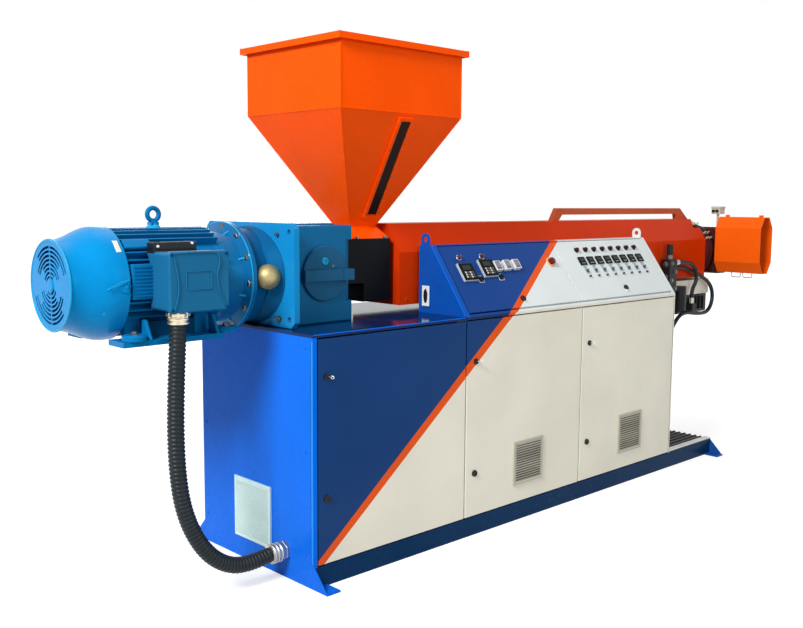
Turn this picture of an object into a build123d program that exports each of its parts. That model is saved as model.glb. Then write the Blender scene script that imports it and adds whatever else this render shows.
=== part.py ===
from build123d import *
from math import atan2, cos, degrees, hypot, pi, radians, sin, sqrt, tan
import os

# Single-screw plastic extruder. Millimetres, +Z up. The origin is on the floor below the screw axis, in the
# middle of the cross member under the feed throat. +X runs along the barrel to the die, -Y is the door side.

# Heights of the machine
beam_height = 85
table_height = 1000
axis_rise = 200

# Skid
left_reach = 600
deck_length = 472
front_reach = 475
cabinet_depth = 774
beam_width = 60
beam_wall = 5
cross_member_width = 100
cross_member_count = 4
last_member_margin = 121
foot_reach = 85
foot_width = 66
foot_thickness = 8
tray_thickness = 4
tray_rib_height = 6
tray_rib_width = 8
tray_rib_pitch = 36
tray_edge_width = 40

# Cabinet
cabinet_length = 2589
end_sheet = 4
end_flange = 20
floor_sheet = 4
table_thickness = 12
post_width = 60
post_depth = 40
back_panel_thickness = 20

# Doors and their hinges
first_seam_ratio = 0.33256
second_seam_ratio = 0.6632
door_gap = 6
door_depth = 22
door_sheet = 2.5
door_corner = 4
hinge_inset = 6
hinge_pin_radius = 3
hinge_clearance = 0.05
pin_engagement = 6
lock_radius = 13
lock_height = 5
left_lock_inset = 53
lock_inset = 58
left_lock_low = 258
left_lock_drop = 148
lock_low = 197
lock_drop = 183

# Door and end-panel vents
vent_width = 220
vent_height = 210
vent_low = 84
vent_right_margin = 303
vent_frame = 10
vent_thickness = 8
slat_pitch = 10.5
slat_thickness = 2
slat_tilt = 28
end_vent_width = 252
end_vent_height = 258
end_vent_y = -76
end_vent_z = 222

# Console
console_rise = 307
console_slope_reach = 220
console_back_reach = 302
console_sheet = 4
console_flange = 25
lid_seam_offset = 3
lid_depth = 16
lid_foot = 20
left_lid_lock = 424
right_lid_lock = 434
lid_lock_inset = 58
sill_rise = 12
sill_depth = 40
sill_sheet = 3
lug_height = 54
lug_width = 55
lug_hole_radius = 12
lug_setback = 263
socket_width = 43
socket_height = 91
socket_depth = 8
socket_setback = 251
socket_rise = 77

# Gearbox
plate_start = -558
plate_thickness = 25
plate_width = 620
plate_gap = 3
plate_rise = 216
plate_corner = 22
plate_hole_radius = 11
plate_hole_inset = 34
housing_length = 352
housing_width = 434
housing_rise = 204
housing_edge = 8
notch_width = 36
notch_depth = 27
notch_low = 87
notch_drop = 60
disc_radius = 114
disc_thickness = 14
disc_x = -337
disc_rise = 7
strap_start = -454
strap_length = 253
strap_width = 46
strap_thickness = 16
strap_end_length = 50
strap_end_thickness = 8

# Bell adaptor and motor, along the screw axis
bell_radius = 190
bell_flare = 205
motor_flange_start = -687
rim_radius = 219
rim_thickness = 18
bell_cap_radius = 44
bell_cap_reach = 19
bell_cap_rise = 5
bell_cap_neck = 22
frame_radius = 168
fin_radius = 200
fin_thickness = 5
fin_pitch_angle = 9
frame_start = -780
frame_end = -1204
end_shield_depth = 16
seat_gap = 0.3
cowl_radius = 209
cowl_length = 20
cowl_depth = 174
grille_radius = 162
cowl_wall = 4
grille_hub = 26
grille_edge = 14
grille_slot_width = 9
grille_slot_pitch = 15
grille_sector = 116
grille_wave = 22
grille_spoke = 6
foot_rail_drop = 215
foot_rail_thickness = 20
foot_rail_length = 415
foot_rail_start = -825
foot_rail_inner = 110
foot_rail_outer = 222
foot_leg_width = 60
foot_leg_inset = 15
eyebolt_x = -990
eyebolt_rise = 249
eyebolt_outer = 33
eyebolt_bar = 9

# Motor terminal box, on the door side of the frame
box_start = -1110
box_length = 240
box_front_y = -325
box_back_y = -150
box_below = 90
box_rise = 120
box_lid = 22
box_corner = 14

# Conduit between the terminal box and the end panel
conduit_diameter = 64
fitting_diameter = 77
conduit_x = -1053
conduit_y = -275
gland_y = -292
gland_z = 114
upper_fitting_length = 48
gland_fitting_length = 78
conduit_bends = ((-474, 13, 686), (-477, 9, 426), (-452, 6, 244), (-380, 4, 96), (-288, 2, 12), (-185, 1, -18))

# Feed block, throat and hopper
feed_block_start = -140
feed_block_length = 258
feed_block_width = 260
feed_block_rise = 140
feed_block_step_drop = 58
feed_block_step_x = -40
feed_block_drop = 138
throat_bore_x = 90
throat_bore_y = 90
skirt_x = 206
skirt_y = 220
neck_x = 150
neck_y = 102
neck_rise = 193
bin_x = 702
bin_y = 636
cone_rise = 675
hopper_rise = 966
hopper_rim_width = 24
hopper_rim_height = 26
hopper_rim_sheet = 4
hopper_wall = 4
hopper_x = 20
sight_offset = 18
sight_width = 86
sight_rail = 15
sight_height = 14
sight_slot_depth = 9
sight_corner = 6
sight_low_ratio = 0.08
sight_high_ratio = 0.97

# Barrel, its cover and the support beam
barrel_radius = 85
barrel_overhang = 941
cover_start = 148
cover_width = 322
cover_drop = 164
cover_shoulder_rise = 75
cover_top_width = 160
cover_rise = 204
cover_end_margin = 58
cover_notch_length = 57
cover_notch_rise = 149
cover_notch_lean = 15
cover_wall = 3
strip_length = 1422
strip_end_margin = 4
strip_left_foot = 60
strip_left_slope = 45
strip_left_rise = 30
strip_right_foot = 133
strip_right_slope = 98
strip_right_rise = 10
strip_front = 60
strip_width = 28
strip_height = 69
strip_thickness = 36
support_drop = 273
support_height = 93
first_saddle_x = 900
last_saddle_margin = 430
saddle_length = 40

# Die end: adapter with its clamp and the octagonal screen-changer guard across the machine
adapter_radius = 125
adapter_length = 120
clamp_overlap = 45
clamp_radius = 166
clamp_width = 105
screen_body_half = 150
screen_body_edge = 12
guard_gap = 25
guard_width = 160
guard_flat = 66
guard_drop = 138
guard_rise = 219
guard_chamfer_z = 70
guard_front = -488
guard_length = 306
guard_wall = 5
guard_loop_bar = 3
guard_loop_width = 62
guard_loop_drop = 30
guard_loop_pitch = 78
guard_tab = 26

# Terminal box on top of the die end
die_box_length = 70
die_box_width = 60
die_box_height = 46
die_box_stand = 86
die_box_post = 8

# Hydraulics of the screen changer: power pack under the beam, lever valve on its front face and two hoses
pack_reach = 345
pack_length = 350
pack_width = 290
pack_height = 122
pack_corner = 14
pack_rib_count = 7
pack_rib_width = 6
pack_rib_depth = 8
pack_rib_margin = 20
valve_reach = 383
valve_width = 84
valve_depth = 60
valve_drop = 235
valve_height = 200
valve_bracket = 12
valve_bracket_rise = 60
valve_bracket_gap = 4
valve_neck_radius = 18
valve_neck_height = 26
stem_radius = 6
stem_height = 31
grip_radius = 19
grip_height = 61
filter_radius = 42
filter_drop = 120
filter_head = 30
filter_offset = 128
filter_arm_width = 40
filter_arm_height = 24
hose_diameter = 24
hose_end_length = 34
hose_end_wall = 4
hose_front_y = -218
hose_front_drop = 55
hose_loop_y = -188
hose_loop_drop = 88
hose_front_bends = ((84, 0, 0), (174, -1, -17), (224, 0, -67), (234, 3, -127), (197, 12, -181), (197, 12, -231))
hose_loop_bends = ((98, 0, 0), (207, -1, -26), (317, -3, -64), (414, -6, -104), (464, -8, -152), (477, -10, -209),
                   (458, -11, -264), (413, -12, -300), (355, -13, -308), (252, -14, -302), (147, -15, -286),
                   (62, -16, -300), (-8, -17, -357), (-103, -20, -457), (-233, -24, -537))
pack_port_size = 44
panel_port_y = -218
panel_port_z = 540
panel_port_run = 82

# Values worked out from the sizes above
axis_height = table_height + axis_rise
skid_x0 = -left_reach
cab_x1 = skid_x0 + cabinet_length
skid_x1 = cab_x1 + deck_length
cross_member_pitch = (skid_x1 - last_member_margin) / (cross_member_count - 1)
door_seams = (round(cabinet_length * first_seam_ratio), round(cabinet_length * second_seam_ratio))
front_y = -front_reach
back_y = front_y + cabinet_depth
table_under = table_height - table_thickness
floor_top = beam_height + floor_sheet
door_low = beam_height + door_gap
door_high = table_under - door_gap
door_back_y = front_y + door_depth + door_gap
console_top_height = table_height + console_rise
console_x0 = skid_x0 + door_seams[0]
console_seam_x = skid_x0 + door_seams[1] + lid_seam_offset
console_top_y = front_y + console_slope_reach
console_back_y = front_y + console_back_reach
housing_x0 = plate_start + plate_thickness
housing_x1 = housing_x0 + housing_length
housing_high = axis_height + housing_rise
plate_high = axis_height + plate_rise
plate_low = table_height + plate_gap
cowl_end = frame_end - cowl_length - cowl_depth
foot_rail_low = axis_height - foot_rail_drop
eyebolt_ring_z = axis_height + eyebolt_rise
box_low = axis_height - box_below
box_high = axis_height + box_rise
feed_block_high = axis_height + feed_block_rise
neck_z = axis_height + neck_rise
cone_top_z = axis_height + cone_rise
hopper_top_z = axis_height + hopper_rise
barrel_end = cab_x1 + barrel_overhang
cover_end = barrel_end - cover_end_margin
cover_roof_end = cover_end - cover_notch_length
cover_low = axis_height - cover_drop
cover_shoulder_z = axis_height + cover_shoulder_rise
cover_high = axis_height + cover_rise
support_low = axis_height - support_drop
support_high = support_low + support_height
guard_start = barrel_end + guard_gap
guard_low = axis_height - guard_drop
guard_high = axis_height + guard_rise
clamp_start = barrel_end - clamp_overlap
clamp_end = clamp_start + clamp_width
pack_start = barrel_end - pack_reach
valve_x = cab_x1 + valve_reach
filter_x = valve_x + filter_offset
valve_low = axis_height - valve_drop
valve_high = valve_low + valve_height
hose_front_z = axis_height - hose_front_drop
hose_loop_z = axis_height - hose_loop_drop
hose_start_x = valve_x + valve_width / 2 + hose_end_length


def block(x0, x1, y0, y1, z0, z1):
    """Box between two corners."""
    middle = ((x0 + x1) / 2, (y0 + y1) / 2, (z0 + z1) / 2)
    return Pos(*middle) * Box(x1 - x0, y1 - y0, z1 - z0)


def rod(start, direction, radius, length):
    """Cylinder from a point along a direction."""
    return extrude(Plane(origin=start, z_dir=direction) * Circle(radius), amount=length)


def prism(points, plane, length):
    """Polygon on a plane, pushed along the plane's normal."""
    return extrude(plane * make_face(Polyline(*points, close=True)), amount=length)


def save(name, shape):
    """Writes one node; a list holds solids that don't touch."""
    if isinstance(shape, list):
        shape = Compound(children=shape)
    shape.label = name
    export_step(shape, f"parts/{name}.step")


# Skid: two box-section beams, cross members, deck tray and the end plate with feet


def base_beams():
    """Front and rear beams; the door hinge pins stand on the front one."""
    beams = []
    for y0 in (front_y, back_y - beam_width):
        inner_y = (y0 + beam_wall, y0 + beam_width - beam_wall)
        beam = block(skid_x0 + end_sheet, skid_x1 - end_sheet, y0, y0 + beam_width, 0, beam_height)
        beam -= block(skid_x0, skid_x1, *inner_y, beam_wall, beam_height - beam_wall)
        beams.append(beam)
    for x in door_hinges():
        foot = (x, front_y + hinge_inset, beam_height)
        beams[0] += rod(foot, (0, 0, 1), hinge_pin_radius, door_gap + pin_engagement)
    return beams


def cross_members():
    """Box-section members between the beams; the first lies under the throat."""
    members = []
    for i in range(cross_member_count):
        x0 = i * cross_member_pitch - cross_member_width / 2
        x1 = x0 + cross_member_width
        y0 = front_y + beam_width
        y1 = back_y - beam_width
        member = block(x0, x1, y0, y1, 0, beam_height)
        member -= block(x0 + beam_wall, x1 - beam_wall, y0, y1, beam_wall, beam_height - beam_wall)
        members.append(member)
    return members


def foot_pair(x0, x1):
    """Foot plates at the front and rear corners of one end."""
    front = block(x0, x1, front_y - foot_reach, front_y, 0, foot_thickness)
    rear = block(x0, x1, back_y, back_y + foot_reach, 0, foot_thickness)
    return front + rear


def gusset_plate(x0, top):
    """End plate with a sloped gusset at each foot."""
    outline = [
        (front_y - foot_reach, 0),
        (back_y + foot_reach, 0),
        (back_y, beam_height + foot_thickness),
        (back_y, top),
        (front_y, top),
        (front_y, beam_height + foot_thickness),
    ]
    return prism(outline, Plane(origin=(x0, 0, 0), x_dir=(0, 1, 0), z_dir=(1, 0, 0)), end_sheet)


def skid_end():
    """Low end plate of the skid with its two feet."""
    outline = [
        (front_y - foot_reach, 0),
        (back_y + foot_reach, 0),
        (back_y, beam_height),
        (front_y, beam_height),
    ]
    plane = Plane(origin=(skid_x1 - end_sheet, 0, 0), x_dir=(0, 1, 0), z_dir=(1, 0, 0))
    return prism(outline, plane, end_sheet) + foot_pair(skid_x1 - foot_width, skid_x1)


def deck_tray():
    """Ribbed deck over the skid, right of the cabinet."""
    x0 = cab_x1
    x1 = skid_x1
    tray = block(x0, x1, front_y, back_y, beam_height, beam_height + tray_thickness)
    top = beam_height + tray_thickness
    tray += block(x0, x1, front_y, front_y + tray_edge_width, top, top + tray_rib_height)
    count = int((cabinet_depth - 2 * tray_edge_width) / tray_rib_pitch)
    for i in range(count):
        y0 = front_y + tray_edge_width + tray_rib_pitch * (i + 0.5)
        tray += block(x0, x1, y0, y0 + tray_rib_width, top, top + tray_rib_height)
    return tray


# Cabinet


def door_spans():
    """Left and right edge of each door."""
    seams = [skid_x0 + seam for seam in door_seams]
    lefts = [skid_x0 + end_flange + door_gap] + [seam + door_gap / 2 for seam in seams]
    rights = [seam - door_gap / 2 for seam in seams] + [cab_x1 - end_sheet - door_gap]
    return list(zip(lefts, rights))


def door_hinges():
    """X of each door's hinge axis."""
    return [right - hinge_inset for left, right in door_spans()]


def vent(width, height, plane):
    """Framed louvre grille, its back on the plane."""
    frame = plane * Box(width, height, vent_thickness, align=(Align.CENTER, Align.CENTER, Align.MIN))
    inner_w = width - 2 * vent_frame
    inner_h = height - 2 * vent_frame
    frame -= plane * Box(inner_w, inner_h, 3 * vent_thickness)
    count = round(inner_h / slat_pitch)
    pitch = inner_h / count
    depth = 1.1 * pitch / cos(radians(slat_tilt))
    for i in range(count):
        v = -inner_h / 2 + pitch * (i + 0.5)
        slat = Pos(0, v, vent_thickness / 2) * Rot(-slat_tilt, 0, 0) * Box(inner_w + 1, depth, slat_thickness)
        frame += plane * slat
    return frame


def end_panel_hole(x0, y, z, radius):
    """Round cut through an end panel."""
    return rod((x0 - end_sheet, y, z), (1, 0, 0), radius, 3 * end_sheet)


def left_end_panel():
    """Full-height end sheet with a front flange, gussets, vent cut-out and gland hole."""
    panel = gusset_plate(skid_x0, table_under) + foot_pair(skid_x0, skid_x0 + foot_width)
    panel += block(skid_x0, skid_x0 + end_flange, front_y, front_y + end_sheet, beam_height, table_under)
    half_w = end_vent_width / 2 - vent_frame
    half_h = end_vent_height / 2 - vent_frame
    y_span = (end_vent_y - half_w, end_vent_y + half_w)
    panel -= block(skid_x0 - 1, skid_x0 + end_sheet + 1, *y_span, end_vent_z - half_h, end_vent_z + half_h)
    return panel - end_panel_hole(skid_x0, gland_y, gland_z, conduit_diameter / 2)


def left_vent():
    """Grille on the outside of the left end panel."""
    plane = Plane(origin=(skid_x0, end_vent_y, end_vent_z), x_dir=(0, -1, 0), z_dir=(-1, 0, 0))
    return vent(end_vent_width, end_vent_height, plane)


def right_end_panel():
    """End sheet beside the deck tray; it stands on the beams."""
    return block(cab_x1 - end_sheet, cab_x1, front_y, back_y, beam_height, table_under)


def back_panels():
    """Three fixed panels that close the back of the cabinet."""
    edges = [skid_x0 + end_sheet] + [skid_x0 + seam for seam in door_seams] + [cab_x1 - end_sheet]
    panels = []
    for i in range(3):
        x0 = edges[i] + (door_gap / 2 if i else 0)
        x1 = edges[i + 1] - (door_gap / 2 if i < 2 else 0)
        y0 = back_y - back_panel_thickness
        panel = block(x0, x1, y0, back_y, beam_height, table_under)
        panel -= block(x0 + door_sheet, x1 - door_sheet, y0 - 1, back_y - door_sheet,
                       beam_height + door_sheet, table_under - door_sheet)
        panels.append(panel)
    return panels


def cabinet_floor():
    """Floor sheet on the beams and cross members."""
    y1 = back_y - back_panel_thickness
    return block(skid_x0 + end_sheet, cab_x1 - end_sheet, door_back_y, y1, beam_height, floor_top)


def door_posts():
    """Square tubes behind the door seams."""
    posts = []
    for seam in door_seams:
        x0 = skid_x0 + seam - post_width / 2
        x1 = x0 + post_width
        y1 = door_back_y + post_depth
        post = block(x0, x1, door_back_y, y1, floor_top, table_under)
        wall = end_sheet
        post -= block(x0 + wall, x1 - wall, door_back_y + wall, y1 - wall, floor_top, table_under)
        posts.append(post)
    return posts


def table_top():
    """Machine table; the upper door pins hang from its front edge."""
    table = block(skid_x0, cab_x1, front_y, back_y, table_under, table_height)
    length = door_gap + pin_engagement
    for x in door_hinges():
        table += rod((x, front_y + hinge_inset, table_under), (0, 0, -1), hinge_pin_radius, length)
    return table


def door(left, right, locks):
    """Folded pan door with quarter-turn locks; it hinges at its right edge."""
    inset, low, drop = locks
    pan = block(left, right, front_y, front_y + door_depth, door_low, door_high)
    pan = fillet(pan.edges().filter_by(Axis.Z).group_by(Axis.Y)[0], door_corner)
    pan -= block(left + door_sheet, right - door_sheet, front_y + door_sheet, front_y + door_depth + 1,
                 door_low + door_sheet, door_high - door_sheet)
    axis_x = right - hinge_inset
    hole = hinge_pin_radius + hinge_clearance
    for z in (door_low - 1, door_high - door_sheet - 1):
        pan -= rod((axis_x, front_y + hinge_inset, z), (0, 0, 1), hole, door_sheet + 2)
    for z in (door_low + low, door_high - drop):
        pan += rod((left + inset, front_y, z), (0, -1, 0), lock_radius, lock_height)
    return pan


def door_with_vent(left, right):
    """Door with a cut-out behind its vent."""
    x1 = right - vent_right_margin - vent_frame
    x0 = x1 - vent_width + 2 * vent_frame
    z0 = door_low + vent_low + vent_frame
    z1 = z0 + vent_height - 2 * vent_frame
    locks = (lock_inset, lock_low, lock_drop)
    return door(left, right, locks) - block(x0, x1, front_y - 1, front_y + door_sheet + 1, z0, z1)


def door_vent(right):
    """Vent grille on the front of a door."""
    x = right - vent_right_margin - vent_width / 2
    z = door_low + vent_low + vent_height / 2
    plane = Plane(origin=(x, front_y, z), x_dir=(1, 0, 0), z_dir=(0, -1, 0))
    return vent(vent_width, vent_height, plane)


# Console


slope_run = console_slope_reach
slope_rise = console_rise
slope_angle = degrees(atan2(slope_rise, slope_run))
slope_length = hypot(slope_run, slope_rise)


def slope_plane(x):
    """Lid plane: origin at the foot of the slope, local x along the machine, local y up the slope."""
    return Plane(origin=(x, front_y, table_height), x_dir=(1, 0, 0),
                 z_dir=(0, -sin(radians(slope_angle)), cos(radians(slope_angle))))


def slope_block(x0, x1, v0, v1, n0, n1):
    """Box in slope coordinates: along, up the slope, out of it."""
    return slope_plane(0) * block(x0, x1, v0, v1, n0, n1)


def console_profile(x0, thickness):
    """Side outline of the console."""
    outline = [
        (front_y, table_height),
        (console_back_y, table_height),
        (console_back_y, console_top_height),
        (console_top_y, console_top_height),
    ]
    return prism(outline, Plane(origin=(x0, 0, 0), x_dir=(0, 1, 0), z_dir=(1, 0, 0)), thickness)


def lifting_lug(x0):
    """Eye plate standing on a console side."""
    y = front_y + lug_setback
    base = console_top_height - lug_width / 2
    lug = block(x0, x0 + console_sheet, y - lug_width / 2, y + lug_width / 2, base,
                console_top_height + lug_height)
    top_edges = lug.edges().filter_by(Axis.X).group_by(Axis.Z)[-1]
    lug = fillet(top_edges, lug_width / 2 - 1)
    hole_z = console_top_height + lug_height - lug_width / 2
    return lug - rod((x0 - 1, y, hole_z), (1, 0, 0), lug_hole_radius, console_sheet + 2)


def lid_hinge_axis():
    """Y and Z of the lids' hinge axis."""
    v = slope_length - door_gap - hinge_inset
    point = slope_plane(0).from_local_coords(Vector(0, v, -hinge_inset))
    return point.Y, point.Z


def console_side(x0, inward):
    """Side sheet with its slope flange, lifting lug and the lid's hinge pin."""
    side = console_profile(x0, console_sheet)
    flange_x0 = x0 if inward > 0 else x0 + console_sheet - console_flange
    cover = slope_block(flange_x0, flange_x0 + console_flange, 0, slope_length, -console_sheet, 0)
    cover -= block(flange_x0, flange_x0 + console_flange, console_top_y, console_back_y,
                   console_top_height - console_sheet, console_top_height)
    side += cover & console_profile(flange_x0, console_flange)
    side += lifting_lug(x0)
    y, z = lid_hinge_axis()
    start = x0 + console_sheet / 2
    length = console_flange - console_sheet / 2 + door_gap + pin_engagement
    return side + rod((start, y, z), (inward, 0, 0), hinge_pin_radius, length)


def console_side_left():
    """Left side sheet with the plate of its connector."""
    side = console_side(console_x0, 1)
    y = front_y + socket_setback
    z = table_height + socket_rise
    return side + block(console_x0 - socket_depth, console_x0, y - socket_width / 2, y + socket_width / 2,
                        z - socket_height / 2, z + socket_height / 2)


def sill(x0, x1):
    """Folded sill along the foot of the slope."""
    angle = radians(slope_angle)
    nose = (front_y + sill_rise * cos(angle), table_height + sill_rise * sin(angle))
    outline = [
        (front_y, table_height),
        (front_y + sill_depth, table_height),
        (front_y + sill_depth, table_height + sill_sheet),
        (nose[0] + sill_sheet, table_height + sill_sheet),
        nose,
    ]
    return prism(outline, Plane(origin=(x0, 0, 0), x_dir=(0, 1, 0), z_dir=(1, 0, 0)), x1 - x0)


def console_shell():
    """Folded top and back sheet with a middle rib that carries both lids."""
    x0 = console_x0 + console_sheet
    x1 = cab_x1 - console_sheet
    sheet = console_sheet
    shell = block(x0, x1, console_top_y, console_back_y, console_top_height - sheet, console_top_height)
    shell += block(x0, x1, console_back_y - sheet, console_back_y, table_height, console_top_height)
    rib = console_profile(console_seam_x - sheet, 2 * sheet)
    rib -= slope_block(console_seam_x - 2 * sheet, console_seam_x + 2 * sheet, -sheet, slope_length - 1,
                       -lid_depth - door_gap, 1)
    shell += rib
    shell += sill(console_x0 + console_flange, cab_x1 - console_flange)
    y, z = lid_hinge_axis()
    reach = door_gap / 2 + pin_engagement
    ear = rod((console_seam_x - 1, y, z), (1, 0, 0), lid_depth + door_gap, 2)
    ear = ear & console_profile(console_seam_x - 1, 2)
    return shell + ear + rod((console_seam_x - reach, y, z), (1, 0, 0), hinge_pin_radius, 2 * reach)


def lid_spans():
    """Left and right edge of each console lid."""
    left = console_x0 + console_flange + door_gap
    right = cab_x1 - console_flange - door_gap
    return [(left, console_seam_x - door_gap / 2), (console_seam_x + door_gap / 2, right)]


def lid(left, right, lock_x):
    """Folded pan lid on the slope with one lock; it hinges at its upper edge."""
    v0 = lid_foot
    v1 = slope_length - door_gap
    pan = block(left, right, v0, v1, -lid_depth, 0)
    pan = fillet(pan.edges().filter_by(Axis.X).group_by(Axis.Z)[-1], door_corner)
    pan -= block(left + door_sheet, right - door_sheet, v0 + door_sheet, v1 - door_sheet,
                 -lid_depth - 1, -door_sheet)
    hole = hinge_pin_radius + hinge_clearance
    for x in (left - 1, right - door_sheet - 1):
        pan -= rod((x, v1 - hinge_inset, -hinge_inset), (1, 0, 0), hole, door_sheet + 2)
    pan += rod((lock_x, lid_lock_inset, 0), (0, 0, 1), lock_radius, lock_height)
    return slope_plane(0) * pan


# Instruments on the lids; each pair is measured along the lid from the console's left end and up its slope

device_size = (92, 92)
device_height = 14
left_devices = ((144, 224), (291, 238))
block_size = (44, 50)
left_blocks = ((361, 243), (431, 245), (499, 246))
lamp_radius = 11
lamp_height = 16
left_lamps = ((137, 305), (292, 305))
left_switches = ((221, 186), (364, 190))
stop_from_seam = 80
stop_v = 252
stop_radius = 20
stop_plate_radius = 30
stop_height = 32
controller_size = (52, 46)
controller_first_ratio = 0.2072
controller_pitch_ratio = 0.09138
controller_count = 8
controller_v = 246
lamp_v = 314
switch_v = 190
knob_v = 154
switch_radius = 12
knob_radius = 9


def button(u, v, radius, height):
    """Round head on a lid."""
    return slope_plane(0) * Pos(u, v, 0) * Cylinder(radius, height, align=(Align.CENTER, Align.CENTER, Align.MIN))


def plate(u, v, size, height):
    """Rectangular instrument on a lid."""
    body = Box(*size, height, align=(Align.CENTER, Align.CENTER, Align.MIN))
    top = body.edges().group_by(Axis.Z)[-1]
    return slope_plane(0) * Pos(u, v, 0) * chamfer(top, 2)


def left_instruments():
    """Two motor devices, three meters, lamps, switches and the emergency stop."""
    items = [plate(console_x0 + u, v, device_size, device_height) for u, v in left_devices]
    items += [plate(console_x0 + u, v, block_size, device_height) for u, v in left_blocks]
    items += [button(console_x0 + u, v, lamp_radius, lamp_height) for u, v in left_lamps + left_switches]
    stop_u = console_seam_x - stop_from_seam
    stop = button(stop_u, stop_v, stop_plate_radius, stop_height / 4)
    stop += button(stop_u, stop_v, stop_radius, stop_height)
    return items + [stop]


def right_instruments():
    """A row of temperature controllers, each with its lamp, selector and knob."""
    items = []
    left, right = lid_spans()[1]
    for i in range(controller_count):
        u = left + (right - left) * (controller_first_ratio + controller_pitch_ratio * i)
        items.append(plate(u, controller_v, controller_size, device_height))
        items.append(button(u, lamp_v, lamp_radius, lamp_height))
        items.append(button(u, switch_v, switch_radius, lamp_height))
        items.append(button(u, knob_v, knob_radius, lamp_height))
    return items


# Gearbox, bell adaptor and motor


def gearbox_plate():
    """Square input flange plate with corner holes."""
    outline = Rectangle(plate_width, plate_high - plate_low)
    face = Pos(0, (plate_low + plate_high) / 2 - axis_height) * chamfer(outline.vertices(), plate_corner)
    half_w = plate_width / 2 - plate_hole_inset
    for y in (-half_w, half_w):
        for z in (plate_low + plate_hole_inset, plate_high - plate_hole_inset):
            face -= Pos(y, z - axis_height) * Circle(plate_hole_radius)
    plane = Plane(origin=(plate_start, 0, axis_height), x_dir=(0, 1, 0), z_dir=(1, 0, 0))
    return extrude(plane * face, amount=plate_thickness)


def gearbox_housing():
    """Cast gearbox housing on the table, notched at its front right edge."""
    half = housing_width / 2
    body = block(housing_x0, housing_x1, -half, half, table_height, housing_high)
    body = fillet(body.edges().filter_by(Axis.X) + body.edges().filter_by(Axis.Z).group_by(Axis.X)[-1],
                  housing_edge)
    return body - block(housing_x1 - notch_width, housing_x1 + 1, -half - 1, -half + notch_depth,
                        table_height + notch_low, housing_high - notch_drop)


def gearbox_cover():
    """Round bearing cover with its strap, on the door side of the housing."""
    face_y = -housing_width / 2
    disc = rod((disc_x, face_y, axis_height + disc_rise), (0, -1, 0), disc_radius, disc_thickness)
    disc = chamfer(disc.edges().group_by(Axis.Y)[0], 3)
    z_span = (axis_height - strap_width / 2, axis_height + strap_width / 2)
    y1 = face_y - disc_thickness
    x1 = strap_start + strap_length
    strap = block(strap_start, x1, y1 - strap_thickness, y1, *z_span)
    strap += block(x1 - strap_end_length, x1, y1 - strap_thickness - strap_end_thickness, y1, *z_span)
    return disc + strap


def motor_plane(x, towards=-1):
    """Plane across the motor axis; its normal points away from the gearbox."""
    return Plane(origin=(x, 0, axis_height), x_dir=(0, 1, 0), z_dir=(towards, 0, 0))


def bell_adaptor():
    """Flared casting between the gearbox plate and the motor flange."""
    length = plate_start - (motor_flange_start + rim_thickness)
    x0 = motor_flange_start + rim_thickness
    profile = Polyline((x0, 0), (x0, bell_flare), (x0 + 12, bell_flare), (x0 + 24, bell_radius),
                       (x0 + length, bell_radius), (x0 + length, 0), close=True)
    face = Plane(origin=(0, 0, axis_height), x_dir=(1, 0, 0), z_dir=(0, -1, 0)) * make_face(profile)
    return revolve(face, Axis((0, 0, axis_height), (1, 0, 0)))


def bell_cap():
    """Brass ball on a short neck, held between the rim and the plate on the door side of the bell."""
    x0 = motor_flange_start + rim_thickness + seat_gap
    x1 = plate_start - seat_gap
    centre = ((x0 + x1) / 2, -bell_radius - bell_cap_reach, axis_height + bell_cap_rise)
    half = min((x1 - x0) / 2, 0.98 * bell_cap_radius)
    rise = sqrt(bell_cap_radius ** 2 - half ** 2)
    profile = [
        Polyline((-half, rise), (-half, 0), (half, 0), (half, rise)),
        ThreePointArc((half, rise), (0, bell_cap_radius), (-half, rise)),
    ]
    plane = Plane(origin=centre, x_dir=(1, 0, 0), z_dir=(0, -1, 0))
    ball = revolve(plane * make_face(profile), Axis(centre, (1, 0, 0)))
    ball += rod(centre, (0, 1, 0), bell_cap_neck, bell_cap_reach + bell_cap_neck)
    return ball - bell_adaptor()


def motor_flange():
    """Motor end shield with its bolting rim."""
    x0 = motor_flange_start + rim_thickness
    x1 = frame_start
    profile = Polyline((x0, 0), (x0, rim_radius), (x0 - rim_thickness, rim_radius),
                       (x0 - rim_thickness - 18, frame_radius + 14), (x1 + 14, frame_radius + 8),
                       (x1, frame_radius), (x1, 0), close=True)
    face = Plane(origin=(0, 0, axis_height), x_dir=(1, 0, 0), z_dir=(0, -1, 0)) * make_face(profile)
    return revolve(face, Axis((0, 0, axis_height), (1, 0, 0)))


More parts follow.
